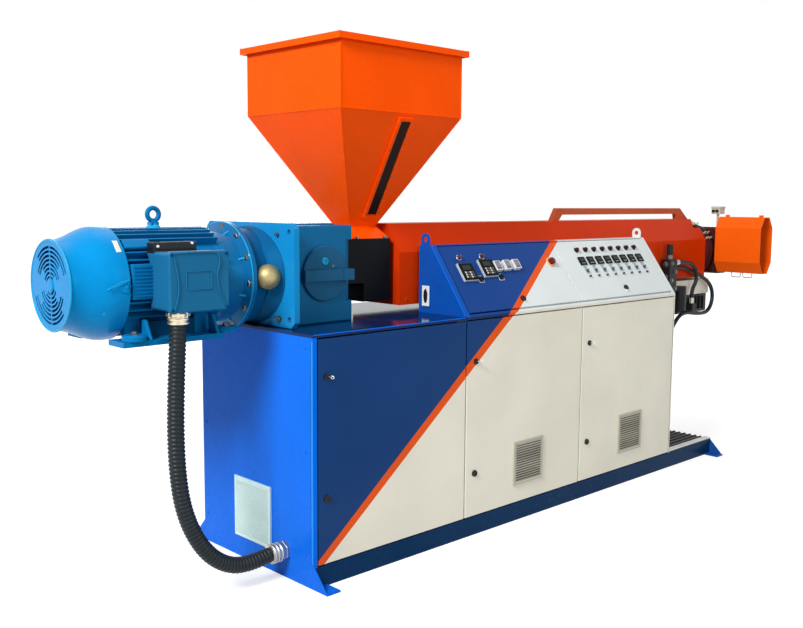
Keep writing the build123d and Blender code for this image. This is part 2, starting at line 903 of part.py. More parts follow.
def motor_frame():
    """Finned motor frame with foot rails and lifting eye."""
    length = frame_start - frame_end
    face = Circle(frame_radius).face()
    for quadrant in (0, 90, 180, 270):
        for i in range(-4, 5):
            angle = quadrant + i * fin_pitch_angle
            fin = Rot(0, 0, angle) * Pos(fin_radius / 2 + frame_radius / 2 - 6, 0)
            face += fin * Rectangle(fin_radius - frame_radius + 12, fin_thickness)
    body = extrude(motor_plane(frame_start) * face, amount=length)
    shield_radius = cowl_radius - cowl_wall - seat_gap
    body += rod((frame_end, 0, axis_height), (-1, 0, 0), shield_radius, end_shield_depth)
    for side in (-1, 1):
        y0, y1 = sorted((side * foot_rail_inner, side * foot_rail_outer))
        x0 = foot_rail_start - foot_rail_length
        body += block(x0, foot_rail_start, y0, y1, foot_rail_low, foot_rail_low + foot_rail_thickness)
        leg_y0, leg_y1 = sorted((side * foot_rail_inner, side * (foot_rail_inner + 24)))
        for x in (frame_end + foot_leg_inset, foot_rail_start - foot_leg_inset - foot_leg_width):
            body += block(x, x + foot_leg_width, leg_y0, leg_y1, foot_rail_low, axis_height - foot_rail_inner)
    neck = block(eyebolt_x - 16, eyebolt_x + 16, -16, 16, axis_height + frame_radius - 8,
                 eyebolt_ring_z - eyebolt_outer + eyebolt_bar / 2)
    ring_plane = Plane(origin=(eyebolt_x, 0, eyebolt_ring_z), x_dir=(1, 0, 0), z_dir=(0, -1, 0))
    ring = ring_plane * Torus(eyebolt_outer - eyebolt_bar, eyebolt_bar)
    return body + neck + ring


def wedge(middle, sweep_angle):
    """Triangle from the grille's centre that covers one sector."""
    reach = 2 * grille_radius
    ends = [radians(middle - sweep_angle / 2), radians(middle + sweep_angle / 2)]
    corners = [(reach * cos(a), reach * sin(a)) for a in ends]
    return make_face(Polyline((0, 0), *corners, close=True))


def grille_slots():
    """Arc slots in the upper and lower sector; their ends step in and out to leave wavy side fields."""
    slots = Sketch()
    ring = grille_hub
    step = 0
    while ring + grille_slot_width < grille_radius - grille_edge:
        band = Circle(ring + grille_slot_width) - Circle(ring)
        shift = grille_wave / 2 if step % 4 < 2 else -grille_wave / 2
        for middle in (90, 270):
            slots += band & wedge(middle + shift, grille_sector)
        ring += grille_slot_pitch
        step += 1
    return slots - Rectangle(grille_spoke, 2 * grille_radius)


def fan_cowl():
    """Sheet fan cowl with its concentric grille."""
    outer = [(frame_end + 4, cowl_radius), (frame_end - cowl_length, cowl_radius)]
    x_mid = frame_end - cowl_length
    x_end = cowl_end
    curve = Spline((x_mid, cowl_radius), (x_end, grille_radius), tangents=((-1, 0), (-1, 0)))
    wall = cowl_wall
    inner_curve = Spline((x_end + wall, grille_radius - wall), (x_mid, cowl_radius - wall),
                         tangents=((1, 0), (1, 0)))
    path = [
        Polyline(outer[0], outer[1]),
        curve,
        Polyline((x_end, grille_radius), (x_end, 0), (x_end + wall, 0), (x_end + wall, grille_radius - wall)),
        inner_curve,
        Polyline((x_mid, cowl_radius - wall), (frame_end + 4, cowl_radius - wall), outer[0]),
    ]
    plane = Plane(origin=(0, 0, axis_height), x_dir=(1, 0, 0), z_dir=(0, -1, 0))
    shell = revolve(plane * make_face(path), Axis((0, 0, axis_height), (1, 0, 0)))
    return shell - extrude(motor_plane(x_end + 2 * wall) * grille_slots(), amount=4 * wall)


def terminal_box():
    """Terminal box with its lid, carried on the frame by a short neck."""
    body = block(box_start, box_start + box_length, box_front_y + box_lid, box_back_y, box_low, box_high)
    body = fillet(body.edges().filter_by(Axis.Y), box_corner)
    lid_body = block(box_start - 4, box_start + box_length + 4, box_front_y, box_front_y + box_lid,
                     box_low - 4, box_high + 4)
    lid_body = fillet(lid_body.edges().filter_by(Axis.Y), box_corner)
    lid_body = chamfer(lid_body.edges().group_by(Axis.Y)[0], 5)
    core = rod((frame_start, 0, axis_height), (-1, 0, 0), fin_radius + 0.3, frame_start - frame_end)
    return (body + lid_body) - core


# Conduit

def conduit_route():
    """Points of the conduit from the terminal box to the gland."""
    top = box_low - upper_fitting_length
    bends = [(skid_x0 + x, gland_y + y, gland_z + z) for x, y, z in conduit_bends]
    end = (skid_x0 - gland_fitting_length, gland_y, gland_z - 2)
    return [(conduit_x, conduit_y, top), *bends, end]


def corner_radii(points):
    """Largest arc that each pair of runs allows."""
    radii = []
    for a, b, c in zip(points, points[1:], points[2:]):
        first = Vector(*b) - Vector(*a)
        second = Vector(*c) - Vector(*b)
        turn = radians(first.get_angle(second))
        radii.append(0.45 * min(first.length, second.length) / tan(turn / 2))
    return radii


def tube(points, diameter):
    """Round tube of straight runs joined by tangent arcs."""
    radii = corner_radii(points)
    path = FilletPolyline(*points, radius=radii)
    start = Plane(origin=points[0], z_dir=Vector(*points[1]) - Vector(*points[0]))
    solid = sweep(start * Circle(diameter / 2), path=path)
    section = pi * (diameter / 2) ** 2
    print("tube radii", [round(r) for r in radii], "length", round(path.length))
    print("tube volume ratio", round(solid.volume / (section * path.length), 5))
    return solid


def conduit():
    """Flexible conduit from the terminal box to the end panel."""
    return tube(conduit_route(), conduit_diameter)


def fitting(point, direction, length):
    """Threaded fitting with a hexagon nut."""
    body = rod(point, direction, fitting_diameter / 2 - 5, length)
    nut = extrude(Plane(origin=point, z_dir=direction) * RegularPolygon(fitting_diameter / 2, 6),
                  amount=length * 0.45)
    return body + nut


def conduit_fittings():
    """Fittings on the terminal box and on the end panel."""
    points = conduit_route()
    upper = fitting((conduit_x, conduit_y, box_low - 4), (0, 0, -1), upper_fitting_length - 4)
    down = Vector(*points[1]) - Vector(*points[0])
    upper -= Plane(origin=points[0], z_dir=down) * Cylinder(
        fitting_diameter, fitting_diameter, align=(Align.CENTER, Align.CENTER, Align.MIN))
    gland = fitting((skid_x0, gland_y, gland_z), (-1, 0, 0), gland_fitting_length)
    last = Vector(*points[-2]) - Vector(*points[-1])
    gland -= Plane(origin=points[-1], z_dir=last) * Cylinder(
        fitting_diameter, fitting_diameter, align=(Align.CENTER, Align.CENTER, Align.MIN))
    return [upper, gland]


# Feed block and hopper


def rect_wire(width_x, width_y, z):
    """Rectangle around the hopper's axis."""
    return Plane(origin=(hopper_x, 0, z)) * Rectangle(width_x, width_y)


def feed_block():
    """Water-cooled feed block with the throat; stepped below at the gearbox side."""
    x0 = feed_block_start
    x1 = x0 + feed_block_length
    half = feed_block_width / 2
    step_z = axis_height - feed_block_step_drop
    body = block(x0, x1, -half, half, step_z, feed_block_high)
    body += block(feed_block_step_x, x1, -half, half, axis_height - feed_block_drop, step_z)
    body = chamfer(body.edges().filter_by(Axis.X), 4)
    tx = throat_bore_x / 2
    ty = throat_bore_y / 2
    body -= block(hopper_x - tx, hopper_x + tx, -ty, ty, axis_height, feed_block_high + 1)
    return body - rod((x0 - 1, 0, axis_height), (1, 0, 0), barrel_radius + 0.3, feed_block_length + 2)


def tapered_shell(bottom, top):
    """Four-sided sheet shell between two rectangles, each (width x, width y, z)."""
    outer = loft([rect_wire(*bottom), rect_wire(*top)])
    wall = 2 * hopper_wall
    inner = loft([rect_wire(bottom[0] - wall, bottom[1] - wall, bottom[2]),
                  rect_wire(top[0] - wall, top[1] - wall, top[2])])
    return outer - inner


def hopper_cone():
    """Tapered lower hopper with the flared skirt on the feed block."""
    cone = tapered_shell((neck_x, neck_y, neck_z), (bin_x, bin_y, cone_top_z))
    return cone + tapered_shell((skirt_x, skirt_y, feed_block_high), (neck_x, neck_y, neck_z))


def hopper_bin():
    """Straight upper hopper."""
    return tapered_shell((bin_x, bin_y, cone_top_z), (bin_x, bin_y, hopper_top_z - hopper_rim_sheet))


def hopper_rim():
    """Angle-section rim around the open top, its outer leg pointing down."""
    low = hopper_top_z - hopper_rim_height
    width = 2 * hopper_rim_width
    outer = rect_wire(bin_x + width, bin_y + width, low)
    inner = rect_wire(bin_x - 2 * hopper_wall, bin_y - 2 * hopper_wall, low)
    inset = 2 * hopper_rim_sheet
    below = rect_wire(bin_x + width - inset, bin_y + width - inset, low)
    return extrude(outer - inner, amount=hopper_rim_height) - extrude(below, amount=hopper_rim_height - hopper_rim_sheet)


def sight_window():
    """Sight window along the front face of the hopper's cone: two raised rails beside a sunk slot."""
    drop = cone_top_z - neck_z
    run = (bin_y - neck_y) / 2
    length = hypot(drop, run)
    up = Vector(0, -run / length, drop / length)
    out = Vector(0, -drop / length, -run / length)
    start = Vector(hopper_x + sight_offset, -neck_y / 2, neck_z)
    plane = Plane(origin=start, x_dir=up, z_dir=out)
    v0 = length * sight_low_ratio
    v1 = length * sight_high_ratio
    body = Pos((v0 + v1) / 2, 0) * RectangleRounded(v1 - v0, sight_width, sight_corner)
    strip = extrude(plane * body, amount=sight_height)
    rails = 2 * sight_rail
    groove = Pos((v0 + v1) / 2, 0) * RectangleRounded(v1 - v0 - rails, sight_width - rails, sight_corner)
    plane_low = Plane(origin=start + out * (sight_height - sight_slot_depth), x_dir=up, z_dir=out)
    return strip - extrude(plane_low * groove, amount=sight_height)


# Barrel, cover, beam and die end


def barrel():
    """Heated barrel from the gearbox to the adapter."""
    return rod((housing_x1, 0, axis_height), (1, 0, 0), barrel_radius, barrel_end - housing_x1)


def cover_outline(inset):
    """Cross-section of the barrel cover, seen along the axis."""
    half = cover_width / 2 - inset
    top_half = cover_top_width / 2 - inset * 0.5
    return [
        (-half, cover_low),
        (half, cover_low),
        (half, cover_shoulder_z - inset * 0.4),
        (top_half, cover_high - inset),
        (-top_half, cover_high - inset),
        (-half, cover_shoulder_z - inset * 0.4),
    ]


def barrel_cover():
    """Sheet cover over the barrel, open below; its roof is cut back above a notch at the die end."""
    start = Plane(origin=(cover_start, 0, 0), x_dir=(0, 1, 0), z_dir=(1, 0, 0))
    shell = prism(cover_outline(0), start, cover_end - cover_start)
    inner = Plane(origin=(cover_start + cover_wall, 0, 0), x_dir=(0, 1, 0), z_dir=(1, 0, 0))
    shell -= prism(cover_outline(cover_wall), inner, cover_end - cover_start)
    shell -= block(cover_start + cover_wall, cover_end + 1, -cover_width / 2 + cover_wall,
                   cover_width / 2 - cover_wall, cover_low - 1, cover_low + cover_wall)
    side = Plane(origin=(0, cover_width, 0), x_dir=(1, 0, 0), z_dir=(0, -1, 0))
    past = cover_end + 10
    notch_z = axis_height + cover_notch_rise
    cut = [
        (cover_roof_end - cover_notch_lean, notch_z),
        (past, notch_z),
        (past, cover_high + 10),
        (cover_roof_end, cover_high + 10),
        (cover_roof_end, cover_high),
    ]
    shell -= prism(cut, side, 2 * cover_width)
    return shell - rod((cover_start - 1, 0, axis_height), (1, 0, 0), barrel_radius + 0.3, cover_wall + 2)


def roof_strip():
    """Narrow raised bar along the front of the cover's roof, on sloped ends."""
    high = cover_high + strip_height
    low = high - strip_thickness
    end = cover_roof_end - strip_end_margin
    start = end - strip_length
    left_foot = start + strip_left_foot
    right_foot = end - strip_right_foot
    outer = [
        (start, cover_high),
        (left_foot, cover_high),
        (left_foot + strip_left_rise, low),
        (right_foot - strip_right_rise, low),
        (right_foot, cover_high),
        (end, cover_high),
        (end - strip_right_slope, high),
        (start + strip_left_slope, high),
    ]
    plane = Plane(origin=(0, strip_width - strip_front, 0), x_dir=(1, 0, 0), z_dir=(0, -1, 0))
    return prism(outer, plane, strip_width)


def support_beam():
    """Box-section beam under the barrel, on the cabinet and out to the die end."""
    half = cover_width / 2
    x0 = cab_x1
    beam = block(x0, barrel_end, -half, half, support_low, support_high)
    return beam


def barrel_stand():
    """Two saddles that carry the barrel."""
    saddles = []
    half = saddle_length / 2
    for x in (first_saddle_x, barrel_end - last_saddle_margin):
        low = table_height if x < cab_x1 else support_high
        saddle = block(x - half, x + half, -barrel_radius, barrel_radius, low, axis_height)
        saddles.append(saddle - rod((x - half - 1, 0, axis_height), (1, 0, 0), barrel_radius, saddle_length + 2))
    return saddles


def die_adapter():
    """Heater around the barrel's end and the wide clamp ring between the cover and the screen changer."""
    heater = rod((barrel_end - adapter_length, 0, axis_height), (1, 0, 0), adapter_radius, adapter_length)
    head = rod((clamp_start, 0, axis_height), (1, 0, 0), clamp_radius, clamp_width)
    bore = rod((barrel_end - adapter_length - 1, 0, axis_height), (1, 0, 0), barrel_radius, adapter_length + 1)
    return heater + head - bore


def octagon(inset):
    """Guard outline seen along Y: narrow flats above and below, chamfers and upright sides."""
    x0 = guard_start + inset
    x1 = guard_start + guard_width - inset
    mid = (x0 + x1) / 2
    flat = guard_flat / 2 - inset * 0.4
    z0 = guard_low + inset
    z1 = guard_high - inset
    side = guard_chamfer_z - inset * 0.4
    return [
        (mid - flat, z0), (mid + flat, z0), (x1, z0 + side), (x1, z1 - side),
        (mid + flat, z1), (mid - flat, z1), (x0, z1 - side), (x0, z0 + side),
    ]


def screen_guard():
    """Open octagonal guard over the screen changer's travel."""
    front = Plane(origin=(0, guard_front + guard_length, 0), x_dir=(1, 0, 0), z_dir=(0, -1, 0))
    shell = prism(octagon(0), front, guard_length)
    ahead = Plane(origin=(0, guard_front + guard_length - guard_wall, 0), x_dir=(1, 0, 0), z_dir=(0, -1, 0))
    shell -= prism(octagon(guard_wall), ahead, guard_length)
    mid = guard_start + guard_width / 2
    for y in (guard_front + guard_tab, guard_front + guard_length - 2 * guard_tab):
        shell += block(mid - 4, mid + 4, y, y + guard_tab, guard_high - guard_wall / 2, guard_high + guard_tab / 2)
    return shell


def screen_body():
    """Screen-changer body between the adapter and the guard."""
    half = screen_body_half
    x1 = guard_start + guard_width
    y0 = guard_front + guard_length
    body = block(clamp_end, x1, y0, half, axis_height - half, axis_height + half)
    return chamfer(body.edges().filter_by(Axis.Y), screen_body_edge)


def guard_loops():
    """Two wire loops under the guard."""
    half = guard_loop_width / 2
    x = guard_start + guard_width / 2
    loops = []
    for side in (-1, 1):
        y = guard_front + guard_length / 2 + side * guard_loop_pitch / 2
        low = guard_low - guard_loop_drop
        path = FilletPolyline((x, y - half, guard_low), (x, y - half, low), (x, y + half, low),
                              (x, y + half, guard_low), radius=guard_loop_drop / 3)
        start = Plane(origin=path @ 0, z_dir=path % 0)
        loops.append(sweep(start * Circle(guard_loop_bar), path=path))
    return loops


def die_box():
    """Small terminal box on a post, on top of the screen-changer body."""
    x = guard_start + guard_width / 2
    y = guard_front + guard_length + die_box_width / 2
    top = axis_height + screen_body_half
    base = top + die_box_stand
    half_x = die_box_length / 2
    half_y = die_box_width / 2
    body = block(x - half_x, x + half_x, y - half_y, y + half_y, base, base + die_box_height)
    body = fillet(body.edges().filter_by(Axis.Z), 6)
    return body + rod((x, y, top), (0, 0, 1), die_box_post, die_box_stand)


def power_pack():
    """Pump unit hung under the support beam."""
    half = pack_width / 2
    low = support_low - pack_height
    body = block(pack_start, pack_start + pack_length, -half, half, low, support_low)
    body = fillet(body.edges().filter_by(Axis.X).group_by(Axis.Z)[0], pack_corner)
    pitch = pack_length / (pack_rib_count + 1)
    z_span = (low + pack_rib_margin, support_low - pack_rib_margin)
    for i in range(pack_rib_count):
        x = pack_start + pitch * (i + 1)
        body += block(x - pack_rib_width / 2, x + pack_rib_width / 2, -half - pack_rib_depth, -half, *z_span)
    port = pack_port_size / 2
    port_x, port_y, hose_end_z = hose_front_route()[-1]
    top = hose_end_z - hose_end_length
    return body + block(port_x - port, port_x + port, port_y - port, -half, top - pack_port_size, top)


valve_back = -cover_width / 2
valve_front = valve_back - valve_bracket - valve_depth


def hydraulic_valve():
    """Lever valve and filter on a bracket on the beam's front face."""
    x0 = valve_x - valve_width / 2
    x1 = valve_x + valve_width / 2
    bracket = block(x0, x1 + filter_radius, valve_back - valve_bracket, valve_back,
                    support_low + valve_bracket_gap, support_high + valve_bracket_rise)
    body = block(x0, x1, valve_front, valve_back - valve_bracket, valve_low, valve_high)
    body = chamfer(body.edges().filter_by(Axis.Z), 4)
    mid_y = valve_front + valve_depth / 2
    body += rod((valve_x, mid_y, valve_high), (0, 0, 1), valve_neck_radius, valve_neck_height)
    body += rod((valve_x, mid_y, valve_high), (0, 0, 1), stem_radius, stem_height)
    body += rod((valve_x, mid_y, valve_high + stem_height), (0, 0, 1), grip_radius, grip_height)
    filter_low = valve_low - filter_drop
    body += rod((filter_x, mid_y, filter_low), (0, 0, 1), filter_radius, filter_drop + filter_head)
    half = filter_arm_width / 2
    arm_top = valve_low + filter_head
    arm = block(x1 - valve_bracket_gap, filter_x, mid_y - half, mid_y + half, arm_top - filter_arm_height, arm_top)
    return body + bracket + arm


def hose_route(y, z, bends):
    """Points of a hose from its fitting on the valve, each bend measured from there."""
    return [(hose_start_x, y, z)] + [(hose_start_x + a, y + b, z + c) for a, b, c in bends]


def hose_front_route():
    """Points of the short hose from the valve to the power pack."""
    return hose_route(hose_front_y, hose_front_z, hose_front_bends)


def hose_loop_route():
    """Points of the long hose: a loop past the power pack, then down behind the cabinet to its end sheet."""
    end = (cab_x1 + hose_end_length, panel_port_y, panel_port_z)
    return hose_route(hose_loop_y, hose_loop_z, hose_loop_bends) + [(end[0] + panel_port_run, *end[1:]), end]


def hose_fittings():
    """Hydraulic fittings on the valve, the power pack and the cabinet's end sheet."""
    radius = hose_diameter / 2 + hose_end_wall
    length = hose_end_length
    ports = [
        (hose_front_route()[0], (1, 0, 0)),
        (hose_front_route()[-1], (0, 0, 1)),
        (hose_loop_route()[0], (1, 0, 0)),
        (hose_loop_route()[-1], (1, 0, 0)),
    ]
    fittings = []
    for tip, direction in ports:
        back = Vector(*tip) - Vector(*direction) * length
        fittings.append(rod(back, direction, radius, length))
    return fittings


nodes = {
    "base_beams": base_beams(),
    "cross_members": cross_members(),
    "skid_end": skid_end(),
    "deck_tray": deck_tray(),
    "left_end_panel": left_end_panel(),
    "left_vent": left_vent(),
    "right_end_panel": right_end_panel(),
    "back_panels": back_panels(),
    "cabinet_floor": cabinet_floor(),
    "door_posts": door_posts(),
    "table_top": table_top(),
    "door_left": door(*door_spans()[0], (left_lock_inset, left_lock_low, left_lock_drop)),
    "door_middle": door_with_vent(*door_spans()[1]),
    "door_right": door_with_vent(*door_spans()[2]),
    "vent_middle": door_vent(door_spans()[1][1]),
    "vent_right": door_vent(door_spans()[2][1]),
    "console_side_left": console_side_left(),
    "console_side_right": console_side(cab_x1 - console_sheet, -1),
    "console_shell": console_shell(),
    "lid_left": lid(*lid_spans()[0], console_seam_x - left_lid_lock),
    "lid_right": lid(*lid_spans()[1], console_seam_x + right_lid_lock),
    "left_instruments": left_instruments(),
    "right_instruments": right_instruments(),
    "gearbox_plate": gearbox_plate(),
    "gearbox_housing": gearbox_housing(),
    "gearbox_cover": gearbox_cover(),
    "bell_adaptor": bell_adaptor(),
    "bell_cap": bell_cap(),
    "motor_flange": motor_flange(),
    "motor_frame": motor_frame(),
    "fan_cowl": fan_cowl(),
    "terminal_box": terminal_box(),
    "conduit": conduit(),
    "conduit_fittings": conduit_fittings(),
    "feed_block": feed_block(),
    "hopper_cone": hopper_cone(),
    "hopper_bin": hopper_bin(),
    "hopper_rim": hopper_rim(),
    "sight_window": sight_window(),
    "barrel": barrel(),
    "barrel_cover": barrel_cover(),
    "roof_strip": roof_strip(),
    "support_beam": support_beam(),
    "barrel_stand": barrel_stand(),
    "die_adapter": die_adapter(),
    "screen_body": screen_body(),
    "screen_guard": screen_guard(),
    "guard_loops": guard_loops(),
    "die_box": die_box(),
    "power_pack": power_pack(),
    "hydraulic_valve": hydraulic_valve(),
    "hose_front": tube(hose_front_route(), hose_diameter),
    "hose_loop": tube(hose_loop_route(), hose_diameter),
    "hose_fittings": hose_fittings(),
}

os.makedirs("parts", exist_ok=True)
for name, shape in nodes.items():
    save(name, shape)
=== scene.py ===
import bpy
from itertools import product
from math import atan2, cos, pi, radians, sin
from mathutils import Matrix, Vector


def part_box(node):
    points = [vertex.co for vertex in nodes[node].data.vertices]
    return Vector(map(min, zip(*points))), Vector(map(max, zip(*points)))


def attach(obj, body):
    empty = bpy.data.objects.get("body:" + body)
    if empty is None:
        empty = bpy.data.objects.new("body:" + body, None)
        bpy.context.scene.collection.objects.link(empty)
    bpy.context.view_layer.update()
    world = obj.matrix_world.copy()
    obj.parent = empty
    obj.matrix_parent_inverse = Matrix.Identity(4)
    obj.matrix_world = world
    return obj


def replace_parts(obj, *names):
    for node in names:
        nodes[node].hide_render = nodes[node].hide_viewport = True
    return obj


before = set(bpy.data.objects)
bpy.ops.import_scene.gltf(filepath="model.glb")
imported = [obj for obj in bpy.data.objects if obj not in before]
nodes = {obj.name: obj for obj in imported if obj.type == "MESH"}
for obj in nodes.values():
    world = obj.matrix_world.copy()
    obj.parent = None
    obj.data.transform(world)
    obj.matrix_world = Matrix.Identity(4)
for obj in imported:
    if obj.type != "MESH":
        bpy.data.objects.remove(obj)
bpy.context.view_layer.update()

axle_z = 1.2  # height of the screw's and the motor's axis
door_y = -0.475  # front face of the doors
UP, FRONT, BACK, LEFT, RIGHT = (0, 0, 1), (0, -1, 0), (0, 1, 0), (-1, 0, 0), (1, 0, 0)
shift = Matrix.Translation
patterns = []  # shapes that are copied, and dropped at the end


# Selecting and finishing


def let_go():
    """Leaves edit mode with nothing selected."""
    if bpy.context.object and bpy.context.object.mode != "OBJECT":
        bpy.ops.object.mode_set(mode="OBJECT")
    bpy.ops.object.select_all(action="DESELECT")


def pick(piece):
    """Selects one piece."""
    let_go()
    piece.select_set(True)
    bpy.context.view_layer.objects.active = piece
    return piece


def link(piece):
    """Puts a new object in the scene."""
    bpy.context.scene.collection.objects.link(piece)
    return piece


def clad(piece, material):
    """Gives a piece one material."""
    piece.data.materials.clear()
    piece.data.materials.append(material)


def finish_piece(pieces, name, finish, body="frame"):
    """Makes one piece of one or several, with its place in its mesh, and gives it name, finish and body."""
    piece = joined(pieces) if isinstance(pieces, list) else pieces
    pick(piece)
    bpy.ops.object.transform_apply(location=True, rotation=True, scale=True)
    piece.name = piece.data.name = name
    clad(piece, paints[finish])
    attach(piece, body)
    let_go()
    return piece


# Shaping pieces


def start_box(low, high):
    """Box between two corners, its place already in its mesh."""
    let_go()
    bpy.ops.mesh.primitive_cube_add(size=1, location=[(a + b) / 2 for a, b in zip(low, high)])
    piece = bpy.context.object
    piece.scale = [b - a for a, b in zip(low, high)]
    bpy.ops.object.transform_apply(location=True, rotation=True, scale=True)
    return piece


def choose(piece, test):
    """Enters edit mode with the faces whose centre and normal pass a test."""
    pick(piece)
    bpy.ops.object.mode_set(mode="EDIT")
    bpy.ops.mesh.select_mode(type="FACE")
    bpy.ops.mesh.select_all(action="DESELECT")
    bpy.ops.object.mode_set(mode="OBJECT")
    for face in piece.data.polygons:
        face.select = test(face.center, face.normal)
    bpy.ops.object.mode_set(mode="EDIT")


def push(way):
    """Extrudes the chosen faces along a way."""
    bpy.ops.mesh.extrude_region_move(TRANSFORM_OT_translate={"value": way})


def sink(piece, test, border, way):
    """Insets the chosen faces and pushes them along a way."""
    choose(piece, test)
    bpy.ops.mesh.inset(thickness=border, depth=0)
    push(way)
    let_go()
    return piece


def narrow(piece, test, share, centre):
    """Scales the chosen faces about a point."""
    choose(piece, test)
    bpy.ops.transform.resize(value=share, center_override=centre)


def soften(piece, width, segments=2):
    """Rounds a piece's sharp edges."""
    pick(piece)
    edges = piece.modifiers.new("edges", "BEVEL")
    edges.width = width
    edges.segments = segments
    edges.limit_method = "ANGLE"
    edges.angle_limit = radians(40)
    bpy.ops.object.modifier_apply(modifier="edges")
    return piece


def block(low, high, width, segments=2):
    """Box between two corners, with rounded edges."""
    return soften(start_box(low, high), width, segments)


def turned(steps, sides):
    """Round piece built ring by ring up its own Z; each step is a radius and a height."""
    let_go()
    radius, height = steps[0]
    bpy.ops.mesh.primitive_circle_add(vertices=sides, radius=radius, fill_type="NGON", location=(0, 0, height))
    piece = bpy.context.object
    bpy.ops.object.transform_apply(location=True, rotation=True, scale=True)
    bpy.ops.object.mode_set(mode="EDIT")
    bpy.ops.mesh.select_all(action="SELECT")
    for wider, higher in steps[1:]:
        push((0, 0, higher - height))
        share = wider / radius
        bpy.ops.transform.resize(value=(share, share, 1), center_override=(0, 0, higher))
        radius, height = wider, higher
    bpy.ops.mesh.select_all(action="SELECT")
    bpy.ops.mesh.normals_make_consistent(inside=False)
    let_go()
    return piece


def joined(pieces):
    """Several pieces made one."""
    let_go()
    for piece in pieces:
        piece.select_set(True)
    bpy.context.view_layer.objects.active = pieces[0]
    if len(pieces) > 1:
        bpy.ops.object.join()
    let_go()
    return pieces[0]


def standing(place, outward=UP, up=UP, size=1.0, turn=0.0):
    """Matrix that stands a pattern's own Z along a direction at a place."""
    z = Vector(outward).normalized()
    x = Vector(up).cross(z)
    if x.length < 0.01:
        x = Vector((1, 0, 0))
    x.normalize()
    axes = Matrix((x, z.cross(x), z)).transposed().to_4x4()
    return shift(place) @ axes @ Matrix.Rotation(turn, 4, "Z") @ Matrix.Scale(size, 4)


def spots(places, outward, size=1.0):
    """Matrices that stand a pattern at several places, all facing one way."""
    return [standing(place, outward, size=size) for place in places]


def moved(pattern, place):
    """Pattern put at its place for good."""
    pattern.data.transform(place)
    return pattern


def stamp(pattern, places, name, finish, body="frame"):
    """Copies of one modelled pattern at several places, joined in one piece."""
    copies = []
    for place in places:
        copy = pattern.copy()
        copy.data = pattern.data.copy()
        copies.append(link(moved(copy, place)))
    if pattern not in patterns:
        patterns.append(pattern)
    return finish_piece(copies, name, finish, body)


def round_line(name, points, radius, sides, resolution):
    """Round curve along points, given in metres."""
    curve = bpy.data.curves.new(name, "CURVE")
    curve.dimensions = "3D"
    curve.bevel_depth = radius
    curve.bevel_resolution = sides
    curve.resolution_u = resolution
    curve.use_fill_caps = True
    line = curve.splines.new("NURBS")
    line.points.add(len(points) - 1)
    for spot, point in zip(line.points, points):
        spot.co = (*point, 1)
    line.order_u = 3
    line.use_endpoint_u = True
    return link(bpy.data.objects.new(name, curve))


def bead(points, radius, closed=False, sides=3):
    """Thin round bead along points, as a mesh."""
    piece = round_line("bead", points, radius, sides, 6)
    piece.data.use_fill_caps = not closed
    piece.data.splines[0].use_endpoint_u = not closed
    piece.data.splines[0].use_cyclic_u = closed
    pick(piece)
    bpy.ops.object.convert(target="MESH")
    return bpy.context.object


def straight_bead(start, end, count, radius, sides=3):
    """Bead from one point to another, in a number of steps."""
    return bead([start.lerp(end, k / count) for k in range(count + 1)], radius, False, sides)


def ring_points(centre, radius, count):
    """Points round a centre, in the plane across the machine's length."""
    turns = [2 * pi * i / count for i in range(count)]
    return [Vector(centre) + Vector((0, radius * cos(a), radius * sin(a))) for a in turns]


def hoop(x, radius, thickness, count=36, sides=2):
    """Round bead about the machine's axis."""
    return bead(ring_points((x, 0, axle_z), radius, count), thickness, True, sides)


def outline(corners):
    """Points along the straight sides of a shape, close to its corners."""
    found = []
    for a, b in zip(corners, corners[1:] + corners[:1]):
        found += [Vector(a).lerp(Vector(b), 0.03 + 0.188 * k) for k in range(6)]
    return found


# Shader groups


def shader_group(name, inputs, outputs):
    """Empty shader group with its inputs and outputs."""
    tree = bpy.data.node_groups.new(name, "ShaderNodeTree")
    for title, kind, value in inputs:
        socket = tree.interface.new_socket(name=title, in_out="INPUT", socket_type="NodeSocket" + kind)
        socket.default_value = value
    for title, kind in outputs:
        tree.interface.new_socket(name=title, in_out="OUTPUT", socket_type="NodeSocket" + kind)
    return tree, tree.nodes.new("NodeGroupInput"), tree.nodes.new("NodeGroupOutput")


def sum_of(tree, kind, first, second=None, third=None):
    """Math node; each term is a number or a socket."""
    node = tree.nodes.new("ShaderNodeMath")
    node.operation = kind
    for socket, term in zip(node.inputs, (first, second, third)):
        if isinstance(term, (int, float)):
            socket.default_value = term
        elif term is not None:
            tree.links.new(term, socket)
    return node.outputs[0]


def blend_of(tree, factor, first, second):
    """Mix of two colours; each is a colour or a socket."""
    node = tree.nodes.new("ShaderNodeMix")
    node.data_type = "RGBA"
    for socket, term in ((node.inputs[0], factor), (node.inputs[6], first), (node.inputs[7], second)):
        if isinstance(term, (int, float, tuple)):
            socket.default_value = term
        else:
            tree.links.new(term, socket)
    return node.outputs[2]


def cloud(tree, vector, scale, detail=2.0, roughness=0.5):
    """Noise at a scale, from 0 to 1."""
    node = tree.nodes.new("ShaderNodeTexNoise")
    tree.links.new(vector, node.inputs["Vector"])
    node.inputs["Detail"].default_value = detail
    node.inputs["Roughness"].default_value = roughness
    node.inputs["Scale"].default_value = scale
    return node.outputs[0]


def spread(tree, value, low, high, to_low, to_high):
    """Value moved from one range to another, kept inside it."""
    node = tree.nodes.new("ShaderNodeMapRange")
    tree.links.new(value, node.inputs[0])
    for socket, number in zip(node.inputs[1:5], (low, high, to_low, to_high)):
        socket.default_value = number
    return node.outputs[0]


